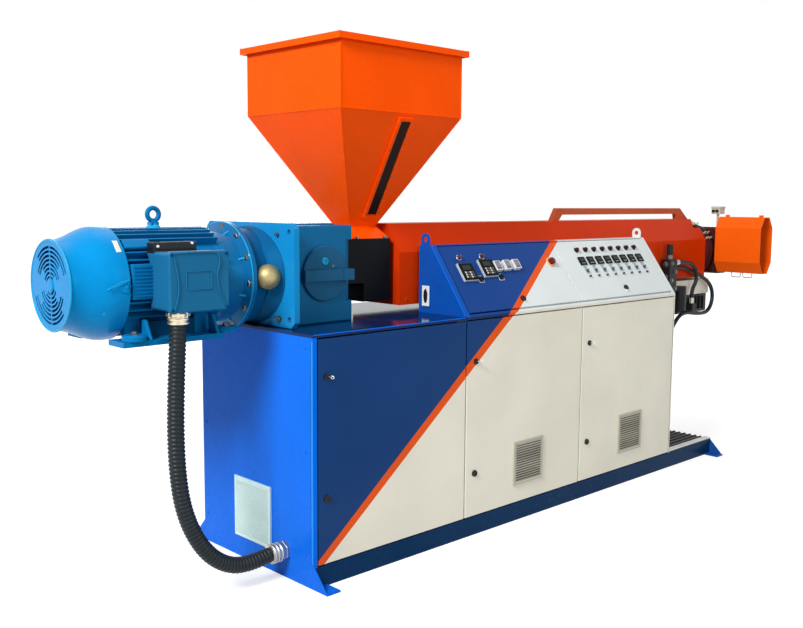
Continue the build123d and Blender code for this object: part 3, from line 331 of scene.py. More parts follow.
def paint_group():
    """Sprayed paint: slight cloudiness, dust low down, scuffs and orange peel."""
    tree, given, out = shader_group(
        "sprayed_paint",
        [("Colour", "Color", (0.5, 0.5, 0.5, 1)), ("Clouds", "Float", 0.08), ("Dust", "Float", 0.15),
         ("Roughness", "Float", 0.25), ("Peel", "Float", 0.3)],
        [("Colour", "Color"), ("Roughness", "Float"), ("Height", "Float")])
    place = tree.nodes.new("ShaderNodeTexCoord").outputs["Object"]
    parts = tree.nodes.new("ShaderNodeSeparateXYZ")
    tree.links.new(place, parts.inputs[0])
    wide = cloud(tree, place, 2.6, 3.0)
    fine = cloud(tree, place, 38.0, 4.0, 0.65)
    light = spread(tree, wide, 0.3, 0.7, -1.0, 1.0)
    shade = sum_of(tree, "MULTIPLY", light, given.outputs["Clouds"])
    shade = sum_of(tree, "ADD", shade, 1.0)
    tinted = tree.nodes.new("ShaderNodeHueSaturation")
    tree.links.new(given.outputs["Colour"], tinted.inputs["Color"])
    tree.links.new(shade, tinted.inputs["Value"])
    low = spread(tree, parts.outputs[2], 0.0, 0.5, 1.0, 0.12)
    speck = spread(tree, fine, 0.5, 0.72, 0.0, 1.0)
    film = spread(tree, wide, 0.35, 0.75, 0.25, 1.0)
    dust = sum_of(tree, "MULTIPLY", sum_of(tree, "MULTIPLY", low, film), given.outputs["Dust"])
    dust = sum_of(tree, "MULTIPLY", dust, sum_of(tree, "MULTIPLY_ADD", speck, 0.6, 0.5))
    colour = blend_of(tree, dust, tinted.outputs[0], (0.42, 0.38, 0.32, 1))
    tree.links.new(colour, out.inputs["Colour"])
    rough = sum_of(tree, "MULTIPLY_ADD", dust, 0.5, given.outputs["Roughness"])
    rough = sum_of(tree, "MULTIPLY_ADD", speck, 0.05, rough)
    tree.links.new(rough, out.inputs["Roughness"])
    peel = cloud(tree, place, 240.0, 1.0)
    tree.links.new(sum_of(tree, "MULTIPLY", peel, given.outputs["Peel"]), out.inputs["Height"])
    return tree


def metal_group():
    """Bare metal: drawn grain, stains and small dents."""
    tree, given, out = shader_group(
        "bare_metal",
        [("Colour", "Color", (0.5, 0.5, 0.5, 1)), ("Stain", "Color", (0.2, 0.15, 0.1, 1)),
         ("Stain amount", "Float", 0.3), ("Roughness", "Float", 0.35)],
        [("Colour", "Color"), ("Roughness", "Float"), ("Height", "Float")])
    place = tree.nodes.new("ShaderNodeTexCoord").outputs["Object"]
    stretch = tree.nodes.new("ShaderNodeMapping")
    stretch.inputs["Scale"].default_value = (4.0, 60.0, 60.0)
    tree.links.new(place, stretch.inputs[0])
    grain = cloud(tree, stretch.outputs[0], 12.0, 3.0, 0.6)
    patch = cloud(tree, place, 9.0, 5.0, 0.6)
    mask = sum_of(tree, "MULTIPLY", spread(tree, patch, 0.42, 0.7, 0.0, 1.0), given.outputs["Stain amount"])
    tree.links.new(blend_of(tree, mask, given.outputs["Colour"], given.outputs["Stain"]), out.inputs["Colour"])
    rough = sum_of(tree, "MULTIPLY_ADD", grain, 0.18, given.outputs["Roughness"])
    tree.links.new(sum_of(tree, "MULTIPLY_ADD", mask, 0.3, rough), out.inputs["Roughness"])
    tree.links.new(grain, out.inputs["Height"])
    return tree


def livery_group():
    """Three-colour livery with a slanted stripe between two straight edges."""
    tree, given, out = shader_group(
        "slanted_livery",
        [("Along", "Float", 0.0), ("Up", "Float", 0.0), ("Left foot", "Float", 0.0), ("Left lean", "Float", 1.0),
         ("Right foot", "Float", 0.1), ("Right lean", "Float", 1.0), ("Behind", "Color", (0, 0, 0.2, 1)),
         ("Stripe", "Color", (0.8, 0.1, 0.02, 1)), ("Ahead", "Color", (0.8, 0.8, 0.7, 1))],
        [("Colour", "Color")])
    reach = []
    for foot, lean in (("Left foot", "Left lean"), ("Right foot", "Right lean")):
        edge = sum_of(tree, "MULTIPLY_ADD", given.outputs["Up"], given.outputs[lean], given.outputs[foot])
        reach.append(sum_of(tree, "GREATER_THAN", given.outputs["Along"], edge))
    colour = blend_of(tree, reach[0], given.outputs["Behind"], given.outputs["Stripe"])
    tree.links.new(blend_of(tree, reach[1], colour, given.outputs["Ahead"]), out.inputs["Colour"])
    return tree


sprayed_paint = paint_group()
bare_metal = metal_group()
slanted_livery = livery_group()


# Materials


def blank_material(name):
    """Material with a shader of its own."""
    material = bpy.data.materials.new(name)
    material.use_nodes = True
    tree = material.node_tree
    shader = tree.nodes["Principled BSDF"]
    return material, tree, shader


def add_group(tree, shader, kind, bump, distance, **values):
    """Places a group in a material and joins it to the shader."""
    group = tree.nodes.new("ShaderNodeGroup")
    group.node_tree = kind
    for title, value in values.items():
        group.inputs[title.replace("_", " ")].default_value = value
    tree.links.new(group.outputs["Colour"], shader.inputs["Base Color"])
    tree.links.new(group.outputs["Roughness"], shader.inputs["Roughness"])
    raised = tree.nodes.new("ShaderNodeBump")
    raised.inputs["Strength"].default_value = bump
    raised.inputs["Distance"].default_value = distance
    tree.links.new(group.outputs["Height"], raised.inputs["Height"])
    tree.links.new(raised.outputs[0], shader.inputs["Normal"])
    return group


def hue_of(colour):
    """Tint for the gloss of a saturated paint, so that it keeps its depth."""
    return (*((c / max(colour)) ** 0.6 for c in colour), 1)


def paint(name, colour, roughness=0.3, clouds=0.06, dust=0.08, coat=0.0, peel=0.3, shine=0.14):
    """Sprayed paint of one colour."""
    material, tree, shader = blank_material(name)
    add_group(tree, shader, sprayed_paint, 0.25, 0.001, Colour=(*colour, 1), Clouds=clouds, Dust=dust,
              Roughness=roughness, Peel=peel)
    shader.inputs["Specular IOR Level"].default_value = shine
    shader.inputs["Specular Tint"].default_value = hue_of(colour)
    shader.inputs["Coat Weight"].default_value = coat
    shader.inputs["Coat Roughness"].default_value = 0.06
    return material


def metal(name, colour, stain=(0.12, 0.08, 0.05), amount=0.25, roughness=0.3, bump=0.15):
    """Bare metal."""
    material, tree, shader = blank_material(name)
    add_group(tree, shader, bare_metal, bump, 0.0005, Colour=(*colour, 1), Stain=(*stain, 1),
              Stain_amount=amount, Roughness=roughness)
    shader.inputs["Metallic"].default_value = 1.0
    return material


def livery(name, up_axis, behind, stripe, ahead, feet, leans, roughness=0.28, dust=0.05):
    """Sprayed livery; up_axis turns a place into the height up the sheet."""
    material, tree, shader = blank_material(name)
    group = add_group(tree, shader, sprayed_paint, 0.25, 0.001, Clouds=0.05, Dust=dust,
                      Roughness=roughness, Peel=0.3)
    place = tree.nodes.new("ShaderNodeTexCoord").outputs["Object"]
    parts = tree.nodes.new("ShaderNodeSeparateXYZ")
    tree.links.new(place, parts.inputs[0])
    up = tree.nodes.new("ShaderNodeVectorMath")
    up.operation = "DOT_PRODUCT"
    tree.links.new(place, up.inputs[0])
    up.inputs[1].default_value = up_axis[:3]
    height = sum_of(tree, "ADD", up.outputs["Value"], up_axis[3])
    bands = tree.nodes.new("ShaderNodeGroup")
    bands.node_tree = slanted_livery
    tree.links.new(parts.outputs[0], bands.inputs["Along"])
    tree.links.new(height, bands.inputs["Up"])
    for title, value in (("Left foot", feet[0]), ("Left lean", leans[0]), ("Right foot", feet[1]),
                         ("Right lean", leans[1]), ("Behind", (*behind, 1)), ("Stripe", (*stripe, 1)),
                         ("Ahead", (*ahead, 1))):
        bands.inputs[title].default_value = value
    tree.links.new(bands.outputs[0], group.inputs["Colour"])
    shader.inputs["Specular IOR Level"].default_value = 0.1
    return material


navy = (0.0005, 0.038, 0.16)
lid_blue = (0.001, 0.045, 0.235)
stripe_orange = (0.76, 0.088, 0.006)
cream_white = (0.8, 0.775, 0.66)
lid_white = (0.71, 0.765, 0.765)
slope = atan2(307, 220)

paints = {
    # End panel blue: partly the panel's own brighter blue, partly painted light on its left face; its beads on edges
    # are painted highlight
    "bright_blue": paint("bright_blue_paint_with_painted_light", (0.0005, 0.135, 0.72), 0.26, dust=0.04, shine=0.1),
    "navy_blue": paint("navy_paint", (0.0005, 0.027, 0.092), 0.24, dust=0.03, shine=0.06),
    "foot_blue": paint("skid_end_paint", (0.001, 0.075, 0.34), 0.26),
    # Lighter blue for the end panel's folded edge: painted highlight
    "edge_blue_painted_highlight": paint("panel_edge_painted_highlight", (0.015, 0.24, 0.82), 0.26, dust=0.04, shine=0.1),
    "cream": paint("cream_paint", cream_white, 0.3, shine=0.3),
    "console_white": paint("console_paint", lid_white, 0.3, shine=0.4),
    "console_blue": paint("console_side_paint", (0.003, 0.072, 0.38), 0.24),
    "hopper_orange": paint("hopper_paint", (0.94, 0.082, 0.001), 0.26, dust=0.03, shine=0.08),
    # Cover orange: the hopper's orange darkened as painted shade
    "cover_orange_painted_shade": paint("cover_paint", (0.6, 0.034, 0.001), 0.3, dust=0.04, shine=0.06),
    "strip_orange": paint("roof_bar_paint", (0.5, 0.085, 0.028), 0.42, clouds=0.14),
    "guard_orange": paint("guard_paint", (0.9, 0.115, 0.004), 0.3),
    "motor_blue": paint("motor_paint", (0.001, 0.145, 0.36), 0.32, peel=0.8),
    # Cowl blue: the motor's paint made lighter as painted light on the cowl's lit left and top
    "cowl_blue_painted_light": paint("cowl_painted_light", (0.001, 0.205, 0.5), 0.26, peel=0.6, shine=0.25),
    # Lighter motor blue: painted highlight for lips, ribs, the eye's collar and small screws
    "motor_highlight": paint("motor_painted_highlight", (0.01, 0.28, 0.52), 0.3, peel=0.5, shine=0.4),
    # Darker motor blue: painted shade, for the foot webs and the lid screws
    "motor_painted_shade": paint("motor_shadow_paint", (0.001, 0.055, 0.15), 0.34, peel=0.5),
    "box_blue": paint("terminal_box_paint", (0.008, 0.115, 0.25), 0.3, peel=0.8, shine=0.3),
    "gearbox_blue": paint("gearbox_paint", (0.004, 0.105, 0.25), 0.36, clouds=0.12, peel=1.2, shine=0.3),
    "bell_blue": paint("bell_paint", (0.001, 0.075, 0.2), 0.42, peel=0.8, shine=0.12),
    "disc_blue": paint("bearing_cover_paint", (0.012, 0.09, 0.19), 0.4, peel=1.0),
    # Darker gearbox blue: painted shade
    "gearbox_painted_shade": paint("gearbox_shadow_paint", (0.002, 0.045, 0.11), 0.4, peel=0.8),
    # Plate blue: the gearbox paint made twice as light, as painted light on the plate's lit left face
    "plate_blue_painted_light": paint("gearbox_plate_painted_light", (0.004, 0.21, 0.5), 0.32, peel=0.8, shine=0.35),
    "rim_blue": paint("flange_paint", (0.002, 0.1, 0.26), 0.3, peel=0.8, shine=0.4),
    "black_paint": paint("black_paint", (0.012, 0.012, 0.013), 0.35),
    "gasket_black": paint("gasket_black", (0.008, 0.008, 0.01), 0.3, coat=0.3),
    "vent_pale": paint("pale_vent_paint", (0.62, 0.8, 0.79), 0.4, shine=0.4),
    "vent_plastic": paint("vent_plastic", (0.5, 0.48, 0.4), 0.5),
    "instrument_black": paint("instrument_plastic", (0.005, 0.006, 0.007), 0.38),
    "lock_black": paint("lock_plastic", (0.01, 0.01, 0.011), 0.3, coat=0.2),
    "face_black": paint("keypad_plastic", (0.003, 0.004, 0.004), 0.34, dust=0.02, shine=0.08),
    "display_glass": paint("display_glass", (0.01, 0.013, 0.013), 0.08, clouds=0.02, dust=0.02, peel=0.0, shine=0.25),
    "case_grey": paint("keypad_case_plastic", (0.42, 0.46, 0.48), 0.36, shine=0.4),
    "case_white": paint("meter_case_plastic", (0.66, 0.7, 0.71), 0.34, shine=0.4),
    "meter_grey": paint("meter_window", (0.24, 0.235, 0.25), 0.14, peel=0.0),
    "key_pale": paint("pale_keys", (0.6, 0.58, 0.55), 0.4),
    "key_grey": paint("grey_keys", (0.1, 0.1, 0.11), 0.4),
    "lamp_dark": paint("dark_lamp_lens", (0.045, 0.008, 0.014), 0.12, coat=0.6, peel=0.0),
    "lamp_red": paint("red_lamp_lens", (0.03, 0.003, 0.006), 0.1, coat=0.3, peel=0.0),
    "stop_red": paint("stop_button_plastic", (0.14, 0.008, 0.01), 0.2, coat=0.2, peel=0.0),
    "safety_yellow": paint("stop_ring_plastic", (0.72, 0.44, 0.2), 0.34),
    "vent_shade": paint("vent_gap_shade", (0.075, 0.07, 0.055), 0.6, shine=0.05),
    "vent_line": paint("vent_line_shade", (0.5, 0.62, 0.6), 0.6, shine=0.05),
    "label_blue": paint("selector_plate_plastic", (0.36, 0.43, 0.48), 0.36),
    "selector_grey": paint("selector_plastic", (0.075, 0.085, 0.095), 0.32),
    "black_cast": paint("black_casting", (0.0035, 0.004, 0.005), 0.3, dust=0.02, peel=1.5, shine=0.08),
    "rubber": paint("black_rubber", (0.01, 0.013, 0.015), 0.4, dust=0.04, shine=0.2),
    "beige_box": paint("beige_box_paint", (0.55, 0.5, 0.4), 0.4),
    "heater_red": paint("heater_jacket", (0.06, 0.011, 0.011), 0.5, clouds=0.3, dust=0.1, peel=1.0, shine=0.1),
    "sight_glass": paint("sight_glass", (0.016, 0.008, 0.006), 0.2, dust=0.03, peel=0.0, shine=0.06),
    "barrel_steel": metal("barrel_steel", (0.5, 0.49, 0.47)),
    "bright_zinc": metal("bright_zinc", (0.72, 0.72, 0.7), (0.35, 0.33, 0.3), 0.2, 0.22),
    "oiled_steel": metal("oiled_steel", (0.16, 0.165, 0.17), (0.03, 0.03, 0.035), 0.5, 0.28),
    "edge_aluminium": metal("edge_aluminium", (0.62, 0.62, 0.6), (0.3, 0.3, 0.3), 0.3, 0.34),
    "plate_metal": metal("plate_metal", (0.78, 0.77, 0.72), (0.5, 0.48, 0.42), 0.3, 0.3),
    "brass": metal("brass", (0.46, 0.37, 0.18), (0.07, 0.09, 0.08), 0.75, 0.42),
    "nickel_brass": metal("nickel_brass", (0.72, 0.66, 0.5), (0.3, 0.24, 0.14), 0.3, 0.24),
}
door_livery = livery("door_livery", (0, 0, 1, 0), navy, stripe_orange, cream_white,
                     (-0.7105, -0.6602), (1.2399, 1.2558))
table_livery = livery("table_livery", (0, 0, 1, 0), (0.0008, 0.02, 0.105), stripe_orange, cream_white,
                      (-0.719, -0.649), (1.274, 1.249), 0.07, 0.03)
lid_livery = livery("lid_livery", (0, cos(slope), sin(slope), -door_y * cos(slope) - sin(slope)), lid_blue,
                    stripe_orange, lid_white, (0.551, 0.609), (1.526, 1.532))

# CAD nodes that keep their shape
node_finishes = (
    # The end panel's bright blue is partly painted light from the left
    ("bright_blue", "left_end_panel"), ("vent_pale", "left_vent"), ("vent_plastic", "vent_middle vent_right"),
    ("navy_blue", "base_beams cross_members"), ("foot_blue", "skid_end"), ("console_blue", "console_side_left"),
    ("cream", "right_end_panel back_panels door_posts door_right support_beam"),
    ("black_paint", "deck_tray cabinet_floor barrel_stand power_pack hydraulic_valve"),
    # The gearbox plate's blue is the housing's made lighter as painted light
    ("console_white", "console_side_right"), ("plate_blue_painted_light", "gearbox_plate"), ("gearbox_blue", "gearbox_housing"),
    ("disc_blue", "gearbox_cover"), ("bell_blue", "bell_adaptor"), ("rim_blue", "motor_flange"),
    # The cowl's blue is lighter than the frame's as painted light
    ("motor_blue", "motor_frame"), ("cowl_blue_painted_light", "fan_cowl"), ("box_blue", "terminal_box"),
    ("rubber", "conduit hose_front hose_loop"), ("nickel_brass", "conduit_fittings"), ("black_cast", "feed_block"),
    # The barrel cover's darker orange is painted shade
    ("hopper_orange", "hopper_cone hopper_bin hopper_rim sight_window"), ("cover_orange_painted_shade", "barrel_cover"),
    ("strip_orange", "roof_strip"), ("guard_orange", "screen_guard"), ("heater_red", "die_adapter screen_body"),
    ("barrel_steel", "barrel guard_loops hose_fittings"), ("beige_box", "die_box"))
for finish, names in node_finishes:
    for name in names.split():
        clad(nodes[name], paints[finish])
for names, material in (("door_left door_middle", door_livery), ("lid_left lid_right console_shell", lid_livery),
                        ("table_top", table_livery)):
    for name in names.split():
        clad(nodes[name], material)
for node in nodes.values():
    pick(node)
    bpy.ops.object.shade_smooth_by_angle(angle=radians(32))
let_go()


# Conduit and hoses


def route_curve(name, points, radius):
    """Smooth round curve on a route's points; points and radius are in millimetres."""
    return round_line(name, [[c / 1000 for c in point] for point in points], radius / 1000, 6, 16)


def dress_cord(name, node, points):
    """Curve that stands for a hydraulic hose held at both ends."""
    diameter = 24
    piece = route_curve(name, points, diameter / 2)
    piece.data.materials.append(paints["rubber"])
    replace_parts(piece, node)
    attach(piece, "frame")


def line_of(piece):
    """Points of a route's smooth line, in order."""
    curve = piece.data
    bevel = curve.bevel_depth
    curve.bevel_depth = 0
    mesh = bpy.data.meshes.new_from_object(piece)
    line = [v.co.copy() for v in mesh.vertices]
    curve.bevel_depth = bevel
    bpy.data.meshes.remove(mesh)
    return line


def even_points(line, step):
    """Points at an even step along a line, with their directions."""
    reach = [0.0]
    for a, b in zip(line, line[1:]):
        reach.append(reach[-1] + (b - a).length)
    count = max(2, round(reach[-1] / step))
    found = []
    at = 0
    for i in range(count + 1):
        target = reach[-1] * i / count
        while at < len(line) - 2 and reach[at + 1] < target:
            at += 1
        share = (target - reach[at]) / max(reach[at + 1] - reach[at], 1e-9)
        found.append(line[at].lerp(line[at + 1], min(max(share, 0), 1)))
    ways = []
    for i in range(count + 1):
        ways.append((found[min(i + 1, count)] - found[max(i - 1, 0)]).normalized())
    return found, ways


def ribbed_tube(name, line, radius, depth, pitch):
    """Corrugated tube along a line."""
    steps, sides = 6, 28  # rings to a rib and corners to a ring
    points, ways = even_points(line, pitch / steps)
    side = Vector((0, 1, 0))
    corners = []
    for i, (point, way) in enumerate(zip(points, ways)):
        side = (side - way * side.dot(way)).normalized()
        other = way.cross(side)
        dip = (0.5 - 0.5 * cos(2 * pi * i / steps)) ** 1.4
        ring = radius - depth * dip
        for k in range(sides):
            turn = 2 * pi * k / sides
            corners.append(point + (side * cos(turn) + other * sin(turn)) * ring)
    faces = []
    for i in range(len(points) - 1):
        for k in range(sides):
            a = i * sides + k
            b = i * sides + (k + 1) % sides
            faces.append((a, b, b + sides, a + sides))
    faces.append(tuple(reversed(range(sides))))
    faces.append(tuple(range((len(points) - 1) * sides, len(points) * sides)))
    mesh = bpy.data.meshes.new(name)
    mesh.from_pydata(corners, [], faces)
    mesh.shade_smooth()
    return link(bpy.data.objects.new(name, mesh)), points


conduit_points = [
    (-1053, -275, 1062), (-1074, -279, 800), (-1077, -283, 540), (-1052, -286, 358), (-980, -288, 210),
    (-888, -290, 126), (-785, -291, 96), (-678, -292, 112),
]
conduit_route = route_curve("motor_conduit_route", conduit_points, 32)
conduit_tube, conduit_line = ribbed_tube("motor_conduit", line_of(conduit_route), 0.032, 0.004, 0.0155)
bpy.data.objects.remove(conduit_route)
conduit_tube.data.materials.append(paints["rubber"])
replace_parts(conduit_tube, "conduit")
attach(conduit_tube, "frame")

hose_front_points = [
    (2448, -218, 1145), (2532, -218, 1145), (2622, -219, 1128), (2672, -218, 1078), (2682, -215, 1018),
    (2645, -206, 964), (2645, -206, 914),
]
hose_loop_points = [
    (2448, -188, 1112), (2546, -188, 1112), (2655, -189, 1086), (2765, -191, 1048), (2862, -194, 1008),
    (2912, -196, 960), (2925, -198, 903), (2906, -199, 848), (2861, -200, 812), (2803, -201, 804),
    (2700, -202, 810), (2595, -203, 826), (2510, -204, 812), (2440, -205, 755), (2345, -208, 655),
    (2215, -212, 575), (2105, -218, 540), (2023, -218, 540),
]
dress_cord("front_hose", "hose_front", hose_front_points)
dress_cord("loop_hose", "hose_loop", hose_loop_points)


# Small fixings used all over the machine


# Hexagon head with a chamfer on a washer, 20 mm across
hex_bolt = joined([
    turned([(0.0125, 0), (0.0125, 0.0016), (0.0118, 0.0022), (0.004, 0.0022)], 24),
    turned([(0.0098, 0.002), (0.0098, 0.0068), (0.0085, 0.0082), (0.002, 0.0082)], 6)])

# Round head with a sunk key hole, 16 mm across
socket_screw = turned([(0.008, 0), (0.008, 0.0066), (0.0072, 0.0076), (0.0042, 0.0076), (0.004, 0.0036),
                       (0.001, 0.0036)], 24)

# Low domed head, 10 mm across
pan_screw = turned([(0.005, 0), (0.005, 0.0012), (0.0043, 0.0024), (0.0028, 0.0032), (0.001, 0.0034)], 16)


# Motor


# Pressed drop-shaped boss where the cowl's side screw sits, in the cowl's lighter blue of painted light
boss = start_box((-1.286, -0.216, 1.176), (-1.207, -0.186, 1.222))
narrow(boss, lambda c, n: n.x < -0.9, (1, 0.4, 0.2), (-1.286, -0.19, 1.19))
soften(boss, 0.005, 3)
sink(boss, lambda c, n: n.y < -0.9 and c.x > -1.27, 0.004, (0, 0.0025, 0))
finish_piece(boss, "cowl_boss", "cowl_blue_painted_light")

# Rolled lip round the grille, the cowl's joint line, the boss's edge and the edge of the bolting rim, in a lighter blue
# that is painted highlight
boss_edge = [(-1.288, -0.2105, 1.192), (-1.262, -0.215, 1.207), (-1.236, -0.2168, 1.22), (-1.209, -0.2165, 1.223)]
finish_piece([hoop(-1.3965, 0.1625, 0.0042, 40, 3), hoop(-1.2065, 0.203, 0.0022, 40), bead(boss_edge, 0.002),
              hoop(-0.6875, 0.218, 0.0026, 44)], "cowl_lip", "motor_highlight")

# Blank disc in the middle of the grille, in the cowl's lighter blue of painted light
hub = turned([(0.026, 0), (0.026, 0.002), (0.022, 0.0045), (0.006, 0.005)], 32)
stamp(hub, [standing((-1.3975, 0, axle_z), LEFT)], "grille_badge", "cowl_blue_painted_light")

# Ridged pad on the motor's side, where the frame has no long fins
parts = [block((-1.19, -0.2035, 1.15), (-1.098, -0.18, 1.277), 0.006, 3)]
for i in range(9):
    z = 1.162 + 0.013 * i
    parts.append(block((-1.182, -0.2062, z - 0.0022), (-1.104, -0.2025, z + 0.0022), 0.0012, 1))
finish_piece(parts, "frame_side_panel", "motor_blue")

# Smooth machined pads on the fins above the side panel, one on each side of the frame
finish_piece([moved(block((-0.054, -0.021, -0.012), (0.054, 0.021, 0.004), 0.005, 3),
                    standing((-1.134, side * 0.137, 1.3455), (0, side * 0.69, 0.73))) for side in (-1, 1)],
             "frame_pads", "motor_blue")

# Rounded lugs of the cast feet, with the upright webs beside them
parts = []
for side, (x, turn) in product((-1, 1), ((-1.184, -1), (-0.8, 1))):
    lug = turned([(0.044, 0), (0.044, 0.014), (0.038, 0.021), (0.02, 0.022)], 32)
    parts.append(moved(lug, shift((x, side * 0.196, 1.006))))
    web = start_box((-0.006, -0.03, 0), (0.006, 0.034, 0.07))
    narrow(web, lambda c, n: n.z > 0.9, (1, 0.42, 1), (0, 0.034, 0.07))
    soften(web, 0.003)
    if side > 0:
        moved(web, Matrix.Rotation(pi, 4, "Z"))
    parts.append(moved(web, shift((x - turn * 0.052, side * 0.196, 1.005))))
finish_piece(parts, "foot_lugs", "motor_blue")

# Creases pressed in the terminal box lid, and its bare raised field
crease_y = -0.3262
creases = (
    ([(-1.098, 1.318), (-1.094, 1.3), (-1.088, 1.27), (-1.078, 1.215), (-1.08, 1.17), (-1.092, 1.128),
      (-1.098, 1.114)], 0.0032),
    ([(-0.928, 1.319), (-0.915, 1.312), (-0.906, 1.288), (-0.916, 1.255), (-0.922, 1.23), (-0.914, 1.18),
      (-0.898, 1.145), (-0.886, 1.124)], 0.0032),
    ([(-1.098, 1.317), (-1.06, 1.3195), (-1, 1.32), (-0.95, 1.3195), (-0.924, 1.317)], 0.0026))
parts = []
for path, width in creases:
    last = len(path) - 1
    rise = [(0, 0.0012, 0.0015)[min(i, last - i, 2)] for i in range(last + 1)]
    parts.append(bead([(x, crease_y - out, z) for (x, z), out in zip(path, rise)], width))
field = [(x, crease_y, z) for x, z in ((-1.047, 1.187), (-0.943, 1.187), (-0.943, 1.252), (-1.047, 1.252))]
parts.append(bead(outline(field), 0.0022, True))
finish_piece(parts, "box_lid_creases", "box_blue")

# Black rubber cover where the terminal box's neck leaves the frame
finish_piece(block((-1.108, -0.212, 1.3), (-0.932, -0.16, 1.353), 0.004), "box_gasket", "gasket_black")

# Long webs between the foot rails and the frame, in a dark blue that is painted shade under the terminal box
finish_piece([block((-1.196, y0, 1), (-0.838, y1, 1.062), 0.003) for y0, y1 in ((-0.132, -0.12), (0.12, 0.132))],
             "foot_aprons", "motor_painted_shade")

# Round collar and tapered neck under the lifting eye, in the lighter blue of painted highlight
neck = turned([(0.03, 0), (0.03, 0.012), (0.026, 0.018), (0.0175, 0.024), (0.0155, 0.034), (0.01, 0.036)], 28)
finish_piece(moved(neck, shift((-0.99, 0, 1.386))), "eye_collar", "motor_highlight")

# Small webs between the motor's end shield and its bolting rim, in the lighter blue of painted highlight
rib = start_box((-0.06, -0.0035, -0.01), (0, 0.0035, 0.046))
narrow(rib, lambda c, n: n.x < -0.9, (1, 1, 0.25), (-0.06, 0, -0.01))
soften(rib, 0.0015, 1)
stamp(rib, [shift((-0.686, 0, axle_z)) @ Matrix.Rotation(radians(20 + 45 * k), 4, "X") @ shift((0, 0, 0.158))
            for k in range(8)], "flange_ribs", "motor_highlight")

# Cone where the bell runs out into the gearbox plate, flattened a little from above
cone = turned([(0.2045, 0), (0.211, 0.008), (0.229, 0.022), (0.244, 0.034), (0.251, 0.0405), (0.251, 0.043)], 64)
place = shift((-0.6008, 0, axle_z)) @ Matrix.Rotation(radians(90), 4, "Y") @ Matrix.Diagonal((0.8, 1, 1, 1))
finish_piece(moved(cone, place), "bell_flare", "bell_blue")

# Domed brass plug in the bell's side, with a round foot
ball_radius = 0.049
rise = [radians(-32 + 122 * k / 12) for k in range(13)]
ball = turned([(ball_radius * cos(a) + 0.0004, 0.026 + ball_radius * sin(a)) for a in rise], 44)
moved(ball, standing((-0.6125, -0.185, 1.206), FRONT))
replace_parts(finish_piece(ball, "inspection_ball", "brass"), "bell_cap")

# Bare rating plate on the cowl
out = Vector((0, -0.156, 0.14)).normalized()
plate = block((-0.026, -0.009, -0.001), (0.026, 0.009, 0.0012), 0.0006, 1)
moved(plate, standing(Vector((-1.221, 0, axle_z)) + out * 0.2092, out, (1, 0, 0)))
finish_piece(plate, "rating_plate", "plate_metal")

# Screws and bolts
box_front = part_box("terminal_box")[0][1]
# Lid screws in the dark blue of painted shade
stamp(socket_screw, spots(product((-1.104, -0.879), (box_front,), (1.117, 1.313)), FRONT, 0.75),
      "box_lid_screws", "motor_painted_shade")
stamp(pan_screw, spots([(-1.092, -0.212, 1.338), (-0.952, -0.212, 1.346)], FRONT, 1.2),
      "gasket_screws", "bright_zinc")
# Cowl screws in the lighter blue of painted highlight
stamp(socket_screw, [
    standing((-1.218, -0.2138, 1.2), FRONT, size=0.55),
    standing((-1.292, -0.1905, 1.108), (-0.25, -0.9, -0.42), size=0.62),
    standing((-1.216, 0.203, 1.204), BACK, size=0.62), standing((-1.216, 0, 1.403), size=0.62)],
    "cowl_screws", "motor_highlight")
rim_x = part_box("motor_flange")[1][0] - 0.018
rim_radius = 0.197
stamp(hex_bolt, [standing((rim_x, -rim_radius * sin(a), axle_z + rim_radius * cos(a)), LEFT, size=1.5, turn=a)
                 for a in (radians(5 + 30 * i) for i in range(12))], "rim_bolts", "oiled_steel")
stamp(hex_bolt, spots(product((-1.184, -0.8), (-0.196, 0.196), (1.028,)), UP, 1.3), "foot_bolts", "oiled_steel")


# Gearbox


# Hexagon nuts and stud ends that hold the bell to the gearbox plate
nut = turned([(0.0105, 0), (0.012, 0.002), (0.012, 0.01), (0.0105, 0.012), (0.003, 0.012)], 6)
stud = turned([(0.007, 0), (0.007, 0.01), (0.0062, 0.012), (0.002, 0.012)], 20)
plate_nut = joined([moved(nut, shift((0, 0, 0.001))), moved(stud, shift((0, 0, 0.01)))])
plate_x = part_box("gearbox_plate")[0][0]
stamp(plate_nut, [standing((plate_x, y, z), LEFT, size=size, turn=turn) for y, z, turn, size in (
    (-0.213, 1.037, 0.9, 1), (0.213, 1.037, 0.1, 1), (-0.03, 1.388, 0.7, 1), (0.11, 1.388, 0.4, 1),
    (-0.206, 1.371, 0, 0.72), (0.206, 1.371, 0, 0.72))], "plate_nuts", "oiled_steel")

# Small ring screw in the bearing cover, in the lighter blue of painted highlight
disc_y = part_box("gearbox_cover")[0][1] + 0.024
eye = turned([(0.016, 0), (0.016, 0.004), (0.0135, 0.0065), (0.0085, 0.0065), (0.0078, 0.002), (0.002, 0.002)], 28)
stamp(eye, [standing((-0.341, disc_y, 1.258), FRONT)], "cover_eye", "motor_highlight")

# Top cover, and the bolted cover and drain plug on the gearbox's unseen side
low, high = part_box("gearbox_housing")
finish_piece([
    block((low[0] + 0.045, -0.15, high[2] - 0.004), (high[0] - 0.04, 0.15, high[2] + 0.0065), 0.004),
    block((low[0] + 0.07, high[1] - 0.004, 1.085), (high[0] - 0.055, high[1] + 0.007, 1.33), 0.004)],
    "gearbox_covers", "gearbox_blue")
stamp(socket_screw, [standing((-0.3, disc_y, 1.236), FRONT, size=0.7)], "strap_screws", "oiled_steel")
